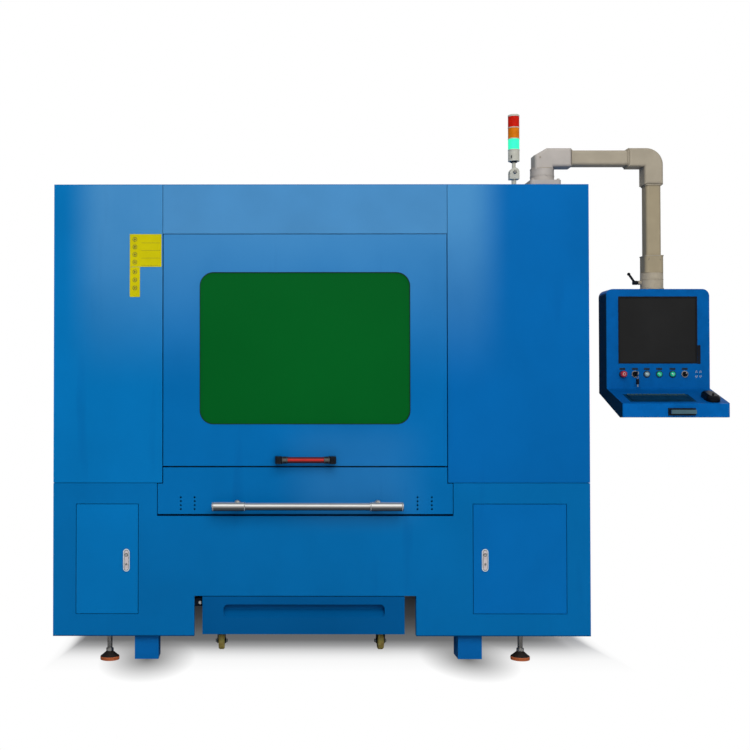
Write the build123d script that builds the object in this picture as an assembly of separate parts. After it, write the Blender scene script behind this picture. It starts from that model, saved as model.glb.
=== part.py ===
from build123d import *

import math
import os

# A floor-standing laser cutting machine in a painted sheet steel cabinet.
# Lengths are millimetres, +Z is up and the machine's front faces -Y.
# Every shape below is drawn from the middle of the cabinet's front face at floor level,
# and is moved on export to the origin: the floor under the middle of the whole machine.

# Cabinet
cabinet_width = 2250.0
cabinet_depth = 1650.0
skirt_height = 110.0
roof_height = 2006.0
sheet = 2.5
fold = 28.0
seam = 2.0
base_top = 750.0

# Door bay between the two columns
bay_left = -667.0
bay_right = 530.0
bay_middle = (bay_left + bay_right) / 2
bay_width = bay_right - bay_left
header_height = 208.0
header_bottom = roof_height - header_height
door_bottom = 818.0
door_gap = 3.0
door_depth = 40.0

# Margin by which a cut runs past the faces it opens
past = 1.0

# Window
window_left = -511.0
window_right = 373.0
window_bottom = 996.0
window_head = 163.0
window_top = header_bottom - window_head
window_radius = 58.0
window_lap = 18.0
pane_thickness = 5.0

# Door handle
handle_length = 253.0
handle_height = 848.0
grip_radius = 13.0
grip_length = 150.0
ferrule_length = 24.0
handle_standoff = 42.0
bracket_height = 30.0
bracket_corner = 9.0
bracket_cover = 3.0
ferrule_rim = 2.0

# Door hinge pin
hinge_pin_radius = 5.0
hinge_clearance = 0.08
hinge_knuckle_radius = 9.0
hinge_knuckle_length = 50.0
hinge_drop = 40.0
hinge_setback = 14.0
hinge_arm_width = 24.0
hinge_arm_back = 60.0
hinge_plate = 6.0
hinge_arm_inset = 140.0
hinge_pin_inset = 30.0
hinge_slot_gap = 3.0
hinge_knuckle_gap = 2.0

# Pull-out table and its stepped front panel
table_panel_bottom = 620.0
table_floor_gap = 9.0
table_step_width = 20.0
table_gap = 3.0
table_length = 1330.0
table_side_gap = 12.0
runner_width = 14.0
runner_height = 26.0
runner_gap = 0.3
table_tube = 50.0
table_top = 800.0
slat_count = 16
slat_thickness = 3.0
slat_height = 62.0
slat_tooth_pitch = 74.0
slat_tooth_depth = 14.0
slat_clearance = 0.1
slat_end_gap = 6.0
comb_width = 12.0
comb_height = 22.0
comb_floor = 6.0
comb_inset = 20.0
cross_bar_width = 30.0
cross_bar_height = 25.0
slat_seat = 20.0
runner_setback = 2.0
track_clearance = 2.0
track_wall = 6.0

# Bar handle
bar_length = 790.0
bar_radius = 16.0
bar_sleeve_radius = 19.0
bar_sleeve_length = 138.0
bar_height = 657.0
bar_centre_x = -62.0
bar_standoff = 62.0
bar_post_radius = 10.0
bar_post_spacing = 581.0
bar_flange_rim = 8.0
bar_flange_thickness = 6.0

# Screw hole columns in the table panel
panel_hole_radius = 4.0
panel_hole_pitch = 16.5
panel_hole_rows = 4
panel_hole_columns = (-590.0, -532.0, 402.0, 462.0)

# Service doors
service_bottom = 202.0
service_top = 663.0
left_service_left = -1030.0
left_service_right = -767.0
right_service_left = 633.0
right_service_right = 1027.0
service_gap = 2.5
service_depth = 20.0
lock_width = 27.0
lock_height = 93.0
lock_centre_z = 427.0
lock_inset = 51.0
lock_corner = 13.0
lock_rim = 3.0
lock_rim_thickness = 2.0
lock_depth = 16.0
lock_fit = 0.1
lock_wall = 3.5
lock_pin_radius = 2.0
lock_pin_clearance = 0.06
lock_pin_drop = 12.0
lock_pin_y = 1.5
lock_pin_length = 24.0
lock_pin_end_gap = 0.1
lock_floor = 2.0
lock_lever_width = 16.0
lock_lever_inset = 6.0
lock_lever_corner = 7.8
lock_lever_proud = 4.0
lock_lever_thickness = 8.0
lock_key_drop = 22.0
lock_key_radius = 5.0
lock_key_depth = 1.2
service_pin_radius = 3.0
service_pin_inset = 9.0
service_pin_y = 5.0

# Scrap drawer and its bay
drawer_left = -499.0
drawer_right = 347.0
drawer_bottom = 118.0
drawer_top = 275.0
drawer_bay_left = -533.0
drawer_bay_right = 396.0
drawer_length = 1100.0
drawer_wall = 3.0
scoop_left = -411.0
scoop_right = 264.0
scoop_bottom = 187.0
scoop_top = 242.0
scoop_depth = 36.0
scoop_radius = 20.0
scoop_rise = 30.0
scoop_backing = 6.0
scoop_hollow_inset = 90.0
scoop_roof = 3.0

# Casters
wheel_radius = 37.5
wheel_width = 26.0
wheel_bore_clearance = 0.05
caster_axle_radius = 5.0
caster_trail = 24.0
caster_front_inset = 220.0
caster_spread = 698.0
fork_wall = 3.0
fork_gap = 1.5
swivel_plate = 6.0
swivel_gap = 0.3
crown_gap = 4.0
crown_radius = 24.0
fork_sheet = 4.0
fork_front = 20.0
fork_back = 18.0
fork_cheek_inset = 2.0
fork_cheek_foot = 11.0
fork_cheek_drop = 10.0
axle_end = 4.0
caster_plate_width = 70.0
caster_plate_depth = 60.0
wheel_hub_radius = 13.0
wheel_web_radius = 15.0
wheel_web_depth = 3.0
wheel_tread = 8.0
wheel_shoulder = 4.0
wheel_edge = 5.0

# Welded frame
frame_tube = 100.0
frame_wall = 6.0
rail_tube = 60.0
rail_wall = 4.0
left_leg_left = -785.0
right_leg_left = 575.0
leg_front = fold
leg_lift = 8.0
bed_beam_bottom = 470.0
bed_top = 880.0

# Ring of low rails that carries the feet
ring_seat = 5.0
ring_clearance = 2.0

# Levelling feet
pad_radius = 40.0
pad_thickness = 16.0
stud_radius = 10.0
cone_radius = 36.0
cone_height = 20.0
foot_nut_radius = 16.0
foot_nut_height = 11.0
pad_round = 4.0
cone_lip = 3.0
left_foot_x = -894.0
right_foot_x = 844.0

# Motion system
rail_width = 23.0
rail_height = 18.0
rail_end = 110.0
rail_groove = 3.0
rail_groove_low = 6.0
rail_groove_high = 12.0
beam_depth = 150.0
beam_height = 130.0
beam_wall = 8.0
shoe_width = 60.0
shoe_inset = 10.0
shoe_lift = 4.0
shoe_overlap = 4.0
gantry_park_y = 1330.0
gantry_travel = 1030.0
rail_length = gantry_travel + beam_depth + 2 * rail_end
head_rail_height = 15.0
head_rail_inset = 12.0
head_rail_depth = 12.0
head_rail_end = 60.0
saddle_thickness = 22.0
saddle_gap = 1.0
saddle_rise = 20.0
block_height = 24.0
block_running_gap = 0.3
carriage_width = 150.0
carriage_park_x = -520.0
head_width = 92.0
guide_width = 28.0
guide_depth = 10.0
head_clearance_over_table = 60.0
guide_rise = 150.0
motor_width = 60.0
motor_depth = 60.0
motor_height = 80.0
motor_front = 5.0
motor_plate = 12.0
head_plate = 12.0
head_plate_low = 10.0
head_plate_rise = 30.0
head_block_width = 52.0
head_block_depth = 8.0
head_block_low = 12.0
optics_width = 80.0
optics_corner = 10.0
optics_drop = 30.0
optics_top_drop = 20.0
collimator_radius = 28.0
collimator_length = 95.0
head_neck_radius = 24.0
head_sleeve_radius = 32.0
head_sleeve_height = 16.0

# Copper nozzle
nozzle_bore = 1.2
nozzle_tip_radius = 5.0
nozzle_radius = 14.0
nozzle_collar_radius = 19.0
nozzle_collar = 6.0
nozzle_body = 8.0
nozzle_cone = 20.0

# Console arm
arm_tube = 64.0
arm_wall = 4.0
arm_corner = 12.0
arm_inset = 169.0
arm_x = cabinet_width / 2 - arm_inset
arm_y = 100.0
arm_reach = 468.0
arm_rise = 128.0
arm_axis_z = roof_height + arm_rise
swivel_radius = 50.0
swivel_rise = 72.0
swivel_seam_z = roof_height + swivel_rise
swivel_gap = 0.3
turret_height = 12.0
socket_size = 80.0
lower_elbow_reach = 118.0
lower_mitre_run = 13.0
lower_mitre_drop = 30.0
upper_elbow_reach = 67.0
upper_elbow_drop = 116.0
upper_elbow_radius = 72.0
arm_drop = 419.0
socket_length = 75.0
neck_length = 71.0
drop_bottom = arm_axis_z - arm_drop
socket_bottom = drop_bottom - socket_length
neck_bottom = socket_bottom - neck_length
drop_socket_corner = 16.0
neck_radius = 47.0
arm_flange_size = 132.0
arm_flange_thickness = 26.0
arm_flange_corner = 16.0

# Clamp lever on the console's collar
lever_lift = 31.0
lever_z = neck_bottom + lever_lift
lever_screw_radius = 4.0
lever_screw_clearance = 0.05
lever_boss_radius = 9.0
lever_boss_length = 12.0
lever_hub_radius = 9.0
lever_arm_length = 45.0
lever_arm_tilt = 35.0
lever_standoff = 25.0
lever_arm_radius = 5.0
lever_knob_radius = 7.0

# Console
console_width = 439.0
console_shift = 7.0
console_centre_x = arm_x + arm_reach + console_shift
console_depth = 96.0
console_height = 423.0
console_bottom = neck_bottom - console_height
console_radius = 30.0
shelf_corner = 12.0
shelf_reach = 200.0
shelf_front_drop = 63.0
shelf_thickness = 54.0
shelf_heel = 20.0
shelf_toe = 30.0
shelf_toe_drop = 2.0
screen_width = 335.0
screen_lift = 106.0
screen_height = 285.0
screen_bottom = console_bottom + screen_lift
screen_top = screen_bottom + screen_height
screen_thickness = 6.0
screen_recess = 2.0
screen_gap = 0.3
control_row_lift = 61.0
control_row_z = console_bottom + control_row_lift
control_offsets = (-151.0, -98.0, -48.0, 5.0, 61.0, 113.0)
control_hole_radius = 11.0
control_clearance = 0.4
control_hole_depth = 39.0
speaker_offset = 171.0
speaker_pitch = 10.0
speaker_row_pitch = 9.0
speaker_radius = 2.2
speaker_depth = 5.0
keyboard_width = 270.0
keyboard_depth = 100.0
keyboard_thickness = 9.0
keyboard_offset = -41.0
keyboard_share = 0.62
keyboard_well = 30.0
keyboard_well_gap = 1.0
key_rows = 5
key_pitch = 19.0
key_row_depth = 15.0
key_row_height = 3.0
key_row_end = 12.0
mouse_offset = 163.0
mouse_share = 0.69
mouse_width = 58.0
mouse_length = 98.0
mouse_height = 25.0
mouse_corner = 26.0
mouse_crown = 14.0
pull_offset = 21.0
pull_drop = 5.0
pull_length = 111.0
pull_plate = 4.0
pull_plate_height = 30.0
pull_bow_height = 16.0
pull_bow_inset = 5.0
pull_post = 11.0
pull_bar = 10.0
stop_radius = 13.5
stop_head = 14.0
stop_proud = 26.0
stop_round = 5.0
stop_stem = 34.0
button_length = 30.0
button_proud = 8.0
button_round = 2.0
barrel_length = 28.0
barrel_proud = 6.0
key_thickness = 2.4
key_length = 26.0
key_width = 22.0
selector_width = 7.0
selector_length = 19.0
selector_proud = 12.0

# Tower light
light_inset = 290.0
light_x = cabinet_width / 2 - light_inset
light_y = 100.0
light_radius = 24.0
light_knuckle_rise = 68.0
light_knuckle_z = roof_height + light_knuckle_rise
light_knuckle_radius = 20.0
light_fork_half = 19.0
light_slot_half = 8.3
light_eye_radius = 18.0
light_pin_radius = 5.0
light_post_radius = 10.0
light_stem_radius = 8.0
light_stem_length = 49.0
light_stem_top = light_knuckle_z + light_stem_length
light_module = 48.0
light_foot_radius = 34.0
light_foot_thickness = 5.0
light_fork_floor = 9.0
light_post_gap = 2.0
light_pin_end = 3.0
light_eye_length = 16.0
light_cap_rim = 0.5
light_cap_height = 9.0
light_cap_round = 4.0

# Vents in the sides and the back, and the fume duct's spigot
vent_rows = 8
louvre_bottom = 300.0
louvre_pitch = 22.0
louvre_width = 320.0
louvre_height = 7.0
vent_inset = 260.0
vent_width = 220.0
vent_drop = 506.0
vent_pitch = 26.0
vent_height = 8.0
spigot_radius = 100.0
spigot_wall = 2.0
spigot_z = 560.0
spigot_x = bay_middle
rear_spigot_reach = 60.0

# The console overhangs the cabinet on the right, and its shelf in front.
console_right = console_centre_x + console_width / 2
console_face_y = arm_y - console_depth / 2
shelf_front_y = console_face_y - shelf_reach
origin_x = (console_right - cabinet_width / 2) / 2
pull_reach = 26.0
origin_y = (cabinet_depth + rear_spigot_reach + shelf_front_y - pull_reach) / 2


def keep(name, shape):
    """Move a finished piece to the machine's origin and write its file."""
    placed = Pos(-origin_x, -origin_y, 0) * shape
    export_step(placed, f"parts/{name}.step")


def block(x0, x1, y0, y1, z0, z1):
    """A plain bar between two opposite corners."""
    bar = Box(x1 - x0, y1 - y0, z1 - z0, align=(Align.MIN, Align.MIN, Align.MIN))
    return Pos(x0, y0, z0) * bar


def front_rectangle(x0, x1, z0, z1, radius=0.0):
    """A rectangle on the front face, with rounded corners where a radius is given."""
    place = Plane.XZ * Pos((x0 + x1) / 2, (z0 + z1) / 2)
    if radius > 0:
        return place * RectangleRounded(x1 - x0, z1 - z0, radius)
    return place * Rectangle(x1 - x0, z1 - z0)


def backward(face, start, length):
    """Extrude a front face outline towards the back of the machine."""
    return Pos(0, start, 0) * extrude(face, -length)


def tray(x0, x1, z0, z1, depth=fold, start=0.0):
    """A sheet panel with all four edges folded back."""
    skin = backward(front_rectangle(x0, x1, z0, z1), start, depth)
    hollow = backward(front_rectangle(x0 + sheet, x1 - sheet, z0 + sheet, z1 - sheet), start + sheet, depth)
    return skin - hollow


def rod_x(radius, length, x, y, z):
    """A round bar along X, centred on its middle."""
    return Pos(x, y, z) * Rot(0, 90, 0) * Cylinder(radius, length)


def rod_y(radius, length, x, y, z):
    """A round bar along Y that runs back from y."""
    return Pos(x, y + length / 2, z) * Rot(90, 0, 0) * Cylinder(radius, length)


def rod_z(radius, length, x, y, z):
    """A round bar along Z that rises from z."""
    return Pos(x, y, z + length / 2) * Cylinder(radius, length)


# Welded frame: four legs, a raised bed and the low rings that carry the feet

left_leg_right = left_leg_left + frame_tube
right_leg_right = right_leg_left + frame_tube
leg_back = cabinet_depth - leg_front - frame_tube
ring_bottom = skirt_height + sheet + ring_seat
ring_top = ring_bottom + rail_tube
ring_edge = cabinet_width / 2 - sheet
ring_front = fold + sheet + ring_clearance
ring_back = cabinet_depth - ring_front
foot_y = (ring_front + rail_tube / 2, ring_back - rail_tube / 2)


def frame_bars(wall_big, wall_small, leg_end):
    """The bars of the frame, drawn in by a wall thickness for the hollow inside."""
    bars = []
    for leg_x in (left_leg_left, right_leg_left):
        for leg_y in (leg_front, leg_back):
            bars.append(block(leg_x + wall_big, leg_x + frame_tube - wall_big,
                              leg_y + wall_big, leg_y + frame_tube - wall_big,
                              leg_end, bed_top - wall_big))
        bars.append(block(leg_x + wall_big, leg_x + frame_tube - wall_big,
                          leg_front + wall_big, leg_back + frame_tube - wall_big,
                          bed_top - frame_tube + wall_big, bed_top - wall_big))
    for leg_y in (leg_front, leg_back):
        bars.append(block(left_leg_left + wall_big, right_leg_right - wall_big,
                          leg_y + wall_big, leg_y + frame_tube - wall_big,
                          bed_beam_bottom + wall_big, bed_beam_bottom + frame_tube - wall_big))
    low = ring_bottom + wall_small
    high = ring_top - wall_small
    for outer, inner in ((-ring_edge, left_leg_left), (ring_edge, right_leg_right)):
        x0, x1 = sorted((outer, inner))
        side_x = outer if outer < 0 else outer - rail_tube
        for y0 in (ring_front, ring_back - rail_tube):
            bars.append(block(x0 + wall_small, x1 - wall_small,
                              y0 + wall_small, y0 + rail_tube - wall_small, low, high))
        bars.append(block(side_x + wall_small, side_x + rail_tube - wall_small,
                          ring_front + wall_small, ring_back - wall_small, low, high))
    return bars


def base_frame():
    """The welded tube frame, hollow inside and open at the ends of its legs."""
    outside = frame_bars(0.0, 0.0, leg_lift)
    inside = frame_bars(frame_wall, rail_wall, leg_lift - past)
    frame = outside[0].fuse(*outside[1:]).cut(*inside)
    return frame.fuse(*table_tracks(), *y_rails())


def levelling_foot(x, y):
    """A foot: rubber faced pad, cone, threaded stud and lock nut."""
    pad = rod_z(pad_radius, pad_thickness, x, y, 0)
    pad = fillet(pad.edges().group_by(Axis.Z)[-1], pad_round)
    cone_top = pad_thickness + cone_height
    cone = Cone(cone_radius, stud_radius + cone_lip, cone_height)
    cone = Pos(x, y, pad_thickness + cone_height / 2) * cone
    stud = rod_z(stud_radius, ring_bottom - pad_thickness, x, y, pad_thickness)
    nut = extrude(RegularPolygon(foot_nut_radius, 6), foot_nut_height)
    lower_nut = Pos(x, y, cone_top) * nut
    lock_nut = Pos(x, y, ring_bottom - foot_nut_height) * nut
    return pad + cone + stud + lower_nut + lock_nut


def levelling_feet():
    """The four feet under the low rings."""
    feet = []
    for x in (left_foot_x, right_foot_x):
        for y in foot_y:
            feet.append(levelling_foot(x, y))
    return Compound(feet)


# Cabinet skins

half_width = cabinet_width / 2


def base_front_panel():
    """The folded front of the base, with the table notch, drawer bay and service openings."""
    notch_left = bay_left - table_step_width - table_gap
    notch_right = bay_right + table_step_width + table_gap
    notch_floor = table_panel_bottom - table_floor_gap
    bay_roof = drawer_top + table_gap
    points = [
        (-half_width, skirt_height),
        (drawer_bay_left, skirt_height),
        (drawer_bay_left, bay_roof),
        (drawer_bay_right, bay_roof),
        (drawer_bay_right, skirt_height),
        (half_width, skirt_height),
        (half_width, base_top - seam / 2),
        (notch_right, base_top - seam / 2),
        (notch_right, notch_floor),
        (notch_left, notch_floor),
        (notch_left, base_top - seam / 2),
        (-half_width, base_top - seam / 2),
    ]
    outline = make_face(Polyline(*points, close=True))
    inner = offset(outline, -sheet, kind=Kind.INTERSECTION)
    skin = extrude(Plane.XZ * outline, -fold)
    hollow = Pos(0, sheet, 0) * extrude(Plane.XZ * inner, -fold)
    panel = skin - hollow
    for x0, x1 in ((left_service_left, left_service_right), (right_service_left, right_service_right)):
        panel -= block(x0, x1, -past, sheet + past, service_bottom, service_top)
        panel += tray_ring(x0, x1)
    for pin_x in service_pin_x:
        panel -= rod_z(service_pin_radius + hinge_clearance, service_top - service_bottom + 4 * sheet,
                       pin_x, service_pin_y, service_bottom - 2 * sheet)
    return panel


def tray_ring(x0, x1):
    """The folded frame round a service opening."""
    outer = block(x0 - sheet, x1 + sheet, 0, fold, service_bottom - sheet, service_top + sheet)
    inner = block(x0, x1, -past, fold + past, service_bottom, service_top)
    return outer - inner


def side_panel(side):
    """A full height side with a folded edge at each end and a louvred vent near the floor."""
    outer_x = side * half_width
    inner_x = outer_x - side * sheet
    x0, x1 = sorted((outer_x, inner_x))
    y0 = fold
    y1 = cabinet_depth - fold
    panel = block(x0, x1, y0, y1, skirt_height, roof_height - fold - seam)
    lip_x = sorted((outer_x, outer_x - side * fold))
    for y in (y0, y1 - sheet):
        panel += block(lip_x[0], lip_x[1], y, y + sheet, skirt_height, roof_height - fold - seam)
    vent_front = (cabinet_depth - louvre_width) / 2
    for row in range(vent_rows):
        z = louvre_bottom + row * louvre_pitch
        panel -= block(x0 - past, x1 + past, vent_front, vent_front + louvre_width, z, z + louvre_height)
    return panel


def rear_panel():
    """The back, with the fume duct's round spigot and two vent fields."""
    skin = tray(-half_width, half_width, skirt_height, roof_height - fold - seam)
    back = Pos(0, cabinet_depth, 0) * Rot(0, 0, 180) * skin
    duct = rod_y(spigot_radius, rear_spigot_reach, spigot_x, cabinet_depth, spigot_z)
    bore = rod_y(spigot_radius - spigot_wall, rear_spigot_reach + fold * 2, spigot_x,
                 cabinet_depth - fold, spigot_z)
    back = back + duct - bore
    for column_x in (-half_width + vent_inset, half_width - vent_inset):
        x0 = column_x - vent_width / 2
        for row in range(vent_rows):
            z = roof_height - vent_drop + row * vent_pitch
            back -= block(x0, x0 + vent_width, cabinet_depth - sheet - past, cabinet_depth + past,
                          z, z + vent_height)
    return back


def roof_panel():
    """The roof, folded down on all four edges."""
    top = block(-half_width, half_width, 0, cabinet_depth, roof_height - fold, roof_height)
    hollow = block(-half_width + sheet, half_width - sheet, sheet, cabinet_depth - sheet,
                   roof_height - fold - past, roof_height - sheet)
    front_room = block(-half_width - past, half_width + past, -past, fold, roof_height - fold - past,
                       roof_height - sheet)
    return top - hollow - front_room


def column_panel(x0, x1):
    """A tall folded front panel above the base."""
    return tray(x0, x1, base_top + seam / 2, roof_height - sheet)


def header_panel():
    """The header with the goose-neck hinge arms and the long pin of the lift-up door."""
    header = tray(bay_left + seam / 2, bay_right - seam / 2, header_bottom, roof_height - sheet)
    pin = rod_x(hinge_pin_radius, bay_width - 2 * hinge_pin_inset, bay_middle, hinge_y, hinge_z)
    arms = []
    for x in hinge_arm_x:
        x0 = x - hinge_arm_width / 2
        x1 = x + hinge_arm_width / 2
        back = hinge_arm_back + hinge_plate
        arms.append(block(x0, x1, sheet, back, header_bottom + sheet, header_bottom + sheet + hinge_plate))
        arms.append(block(x0, x1, hinge_arm_back, back, hinge_z - hinge_plate,
                          header_bottom + sheet + past))
        arms.append(block(x0, x1, hinge_y, back, hinge_z - hinge_plate, hinge_z + hinge_plate))
        arms.append(rod_x(hinge_knuckle_radius, hinge_arm_width, x, hinge_y, hinge_z))
    return header.fuse(pin, *arms)


# Lift-up front door

hinge_y = hinge_setback
hinge_z = header_bottom - door_gap - hinge_drop
hinge_arm_x = (bay_left + hinge_arm_inset, bay_middle, bay_right - hinge_arm_inset)
door_left = bay_left + door_gap
door_right = bay_right - door_gap
door_low = door_bottom + door_gap
door_high = header_bottom - door_gap


def front_door():
    """The door sheet with a rounded window opening, folded edges and hinge straps at its head."""
    door = tray(door_left, door_right, door_low, door_high, door_depth)
    opening = front_rectangle(window_left, window_right, window_bottom, window_top, window_radius)
    door -= backward(opening, -past, door_depth)
    for x in hinge_arm_x:
        slot = hinge_arm_width / 2 + hinge_slot_gap
        door -= block(x - slot, x + slot, sheet, door_depth + past, door_high - 2 * sheet, door_high + past)
        for side in (-1, 1):
            middle = x + side * ((hinge_arm_width + hinge_knuckle_length) / 2 + hinge_knuckle_gap)
            knuckle = rod_x(hinge_knuckle_radius, hinge_knuckle_length, middle, hinge_y, hinge_z)
            web_left = middle - hinge_knuckle_length / 2
            web = block(web_left, web_left + hinge_knuckle_length, sheet, hinge_y,
                        hinge_z - hinge_knuckle_radius, hinge_z + hinge_knuckle_radius)
            bore = rod_x(hinge_pin_radius + hinge_clearance, hinge_knuckle_length + 2 * past,
                         middle, hinge_y, hinge_z)
            door += knuckle + web - bore
    return door


def door_window():
    """The filter glass, clamped behind the door sheet."""
    pane = front_rectangle(window_left - window_lap, window_right + window_lap,
                           window_bottom - window_lap, window_top + window_lap, window_radius + window_lap)
    return backward(pane, sheet, pane_thickness)


def door_handle_grip():
    """The round grip with a ferrule at each end."""
    grip = rod_x(grip_radius, grip_length, bay_middle, -handle_standoff, handle_height)
    for side in (-1, 1):
        x = bay_middle + side * (grip_length + ferrule_length) / 2
        grip += rod_x(grip_radius + ferrule_rim, ferrule_length, x, -handle_standoff, handle_height)
    return grip


def door_handle_brackets():
    """The two moulded ends that hold the grip off the door."""
    ends = []
    inner = grip_length / 2 + ferrule_length
    for side in (-1, 1):
        x0, x1 = sorted((bay_middle + side * inner, bay_middle + side * handle_length / 2))
        arm = block(x0, x1, -handle_standoff - grip_radius - bracket_cover, 0,
                    handle_height - bracket_height / 2, handle_height + bracket_height / 2)
        corner = arm.edges().filter_by(Axis.Z).group_by(Axis.Y)[0]
        arm = fillet(corner, bracket_corner)
        ends.append(arm)
    return Compound(ends)


# Pull-out work table

panel_low_left = bay_left - table_step_width
panel_low_right = bay_right + table_step_width
step_z = base_top - table_gap


def table_front_panel():
    """The stepped front: narrow above the base and wide in its notch."""
    high = door_bottom - table_gap
    narrow_left = bay_left + table_gap
    narrow_right = bay_right - table_gap
    points = [
        (panel_low_left, table_panel_bottom),
        (panel_low_right, table_panel_bottom),
        (panel_low_right, step_z),
        (narrow_right, step_z),
        (narrow_right, high),
        (narrow_left, high),
        (narrow_left, step_z),
        (panel_low_left, step_z),
    ]
    outline = make_face(Polyline(*points, close=True))
    inner = offset(outline, -sheet, kind=Kind.INTERSECTION)
    panel = extrude(Plane.XZ * outline, -fold) - Pos(0, sheet, 0) * extrude(Plane.XZ * inner, -fold)
    for x in panel_hole_columns:
        for row in range(panel_hole_rows):
            z = bar_height + (row - 1) * panel_hole_pitch
            panel -= rod_y(panel_hole_radius, sheet + 2 * past, x, -past, z)
    return panel


table_left = bay_left + table_side_gap
table_right = bay_right - table_side_gap
table_front = sheet
table_back = table_front + table_length
table_floor = table_top - slat_height - table_tube + slat_seat
runner_bottom = table_floor + (table_tube - runner_height) / 2
slat_left = table_left + slat_end_gap
slat_right = table_right - slat_end_gap
slat_spacing = (table_length - table_tube) / slat_count
slat_places = [table_front + table_tube / 2 + (index + 0.5) * slat_spacing for index in range(slat_count)]


def work_table_frame():
    """The table's welded tube rectangle with two cross bars and a runner on each side."""
    z0 = table_floor
    z1 = table_floor + table_tube
    outer = block(table_left, table_right, table_front, table_back, z0, z1)
    inner = block(table_left + table_tube, table_right - table_tube, table_front + table_tube,
                  table_back - table_tube, z0 - past, z1 + past)
    table = outer - inner
    for share in (1 / 3, 2 / 3):
        y = table_front + table_length * share
        table += block(table_left, table_right, y - cross_bar_width / 2, y + cross_bar_width / 2,
                       z0, z0 + cross_bar_height)
    for x0 in (table_left - runner_width, table_right):
        table += block(x0, x0 + runner_width, fold + runner_setback, table_back,
                       runner_bottom, runner_bottom + runner_height)
    for x0 in (slat_left + comb_inset, slat_right - comb_inset - comb_width):
        table += slat_comb(x0, z1)
    return table


def slat_comb(x0, z0):
    """A notched strip on the frame that holds the slats upright."""
    comb = block(x0, x0 + comb_width, table_front + slat_end_gap, table_back - slat_end_gap,
                 z0, z0 + comb_height)
    for y in slat_places:
        comb -= block(x0 - past, x0 + comb_width + past, y - slat_clearance,
                      y + slat_thickness + slat_clearance, z0 + comb_floor, z0 + comb_height + past)
    return comb


def table_slats():
    """Separate upright slats with a toothed top edge, each standing in two notched strips."""
    length = slat_right - slat_left
    teeth = int(length // slat_tooth_pitch)
    base = table_floor + table_tube + comb_floor
    top = table_top
    points = [(slat_left, base), (slat_right, base), (slat_right, top)]
    for tooth in range(teeth, 0, -1):
        peak = slat_left + (tooth - 0.5) * length / teeth
        points.append((peak, top + slat_tooth_depth))
        points.append((slat_left + (tooth - 1) * length / teeth, top))
    outline = make_face(Polyline(*points, close=True))
    blank = extrude(Plane.XZ * outline, -slat_thickness)
    return Compound([Pos(0, y, 0) * blank for y in slat_places])


def table_tracks():
    """The two channels on the legs in which the table's runners roll."""
    tracks = []
    low = runner_bottom - runner_gap
    high = runner_bottom + runner_height + runner_gap
    for face, edge, side in ((left_leg_right, table_left, 1), (right_leg_left, table_right, -1)):
        x0, x1 = sorted((face, edge - side * track_clearance))
        track = block(x0, x1, leg_front, leg_back + frame_tube, low - track_wall, high + track_wall)
        g0, g1 = sorted((edge - side * (runner_width + runner_gap), edge))
        track -= block(g0, g1, leg_front - past, leg_back + frame_tube + past, low, high)
        tracks.append(track)
    return tracks


def table_handle_bar():
    """The stainless bar with end sleeves and two posts."""
    bar = rod_x(bar_radius, bar_length, bar_centre_x, -bar_standoff, bar_height)
    for side in (-1, 1):
        x = bar_centre_x + side * (bar_length - bar_sleeve_length) / 2
        sleeve = rod_x(bar_sleeve_radius, bar_sleeve_length, x, -bar_standoff, bar_height)
        bar += sleeve
    for side in (-1, 1):
        x = bar_centre_x + side * bar_post_spacing / 2
        bar += rod_y(bar_post_radius, bar_standoff, x, -bar_standoff, bar_height)
        bar += rod_y(bar_post_radius + bar_flange_rim, bar_flange_thickness, x, -bar_flange_thickness,
                     bar_height)
    return bar


# Service doors and their locks

service_pin_x = (left_service_left + service_gap + service_pin_inset,
                 right_service_right - service_gap - service_pin_inset)


def service_door(x0, x1, pin_x, lock_x):
    """A folded door with a hinge pin at its outer edge and a slot for its lock."""
    door = tray(x0 + service_gap, x1 - service_gap, service_bottom + service_gap,
                service_top - service_gap, service_depth)
    slot = lock_outline(lock_x, lock_fit)
    door -= backward(slot, -past, sheet + 2 * past)
    pin_end = sheet + past
    return door + rod_z(service_pin_radius, service_top - service_bottom + 2 * pin_end,
                        pin_x, service_pin_y, service_bottom - pin_end)


lock_pin_z = lock_centre_z + lock_height / 2 - lock_pin_drop


def lock_outline(x, growth):
    """The lock's long rounded outline, made larger or smaller all round."""
    half = lock_width / 2 + growth
    tall = lock_height / 2 + growth
    return front_rectangle(x - half, x + half, lock_centre_z - tall, lock_centre_z + tall,
                           lock_corner + growth)


def lock_dish(x):
    """The lock's die cast dish, set into the service door."""
    dish = backward(lock_outline(x, lock_rim), -lock_rim_thickness, lock_rim_thickness)
    dish += backward(lock_outline(x, 0.0), 0.0, lock_depth)
    dish -= backward(lock_outline(x, -lock_wall), -lock_rim_thickness - past, lock_depth - lock_floor)
    bore = rod_x(lock_pin_radius + lock_pin_clearance, lock_pin_length + 2 * lock_pin_end_gap, x,
                 lock_pin_y, lock_pin_z)
    return dish - bore


def lock_lever(x):
    """The lever that lies in the dish and swings out on its cross pin."""
    half = lock_lever_width / 2
    tall = lock_height / 2 - lock_lever_inset
    plate = front_rectangle(x - half, x + half, lock_centre_z - tall, lock_centre_z + tall,
                            lock_lever_corner)
    lever = backward(plate, -lock_lever_proud, lock_lever_thickness)
    recess = rod_y(lock_key_radius, 2 * lock_key_depth, x, -lock_lever_proud - lock_key_depth,
                   lock_centre_z - lock_key_drop)
    return lever - recess + rod_x(lock_pin_radius, lock_pin_length, x, lock_pin_y, lock_pin_z)


# Scrap drawer on casters


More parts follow.
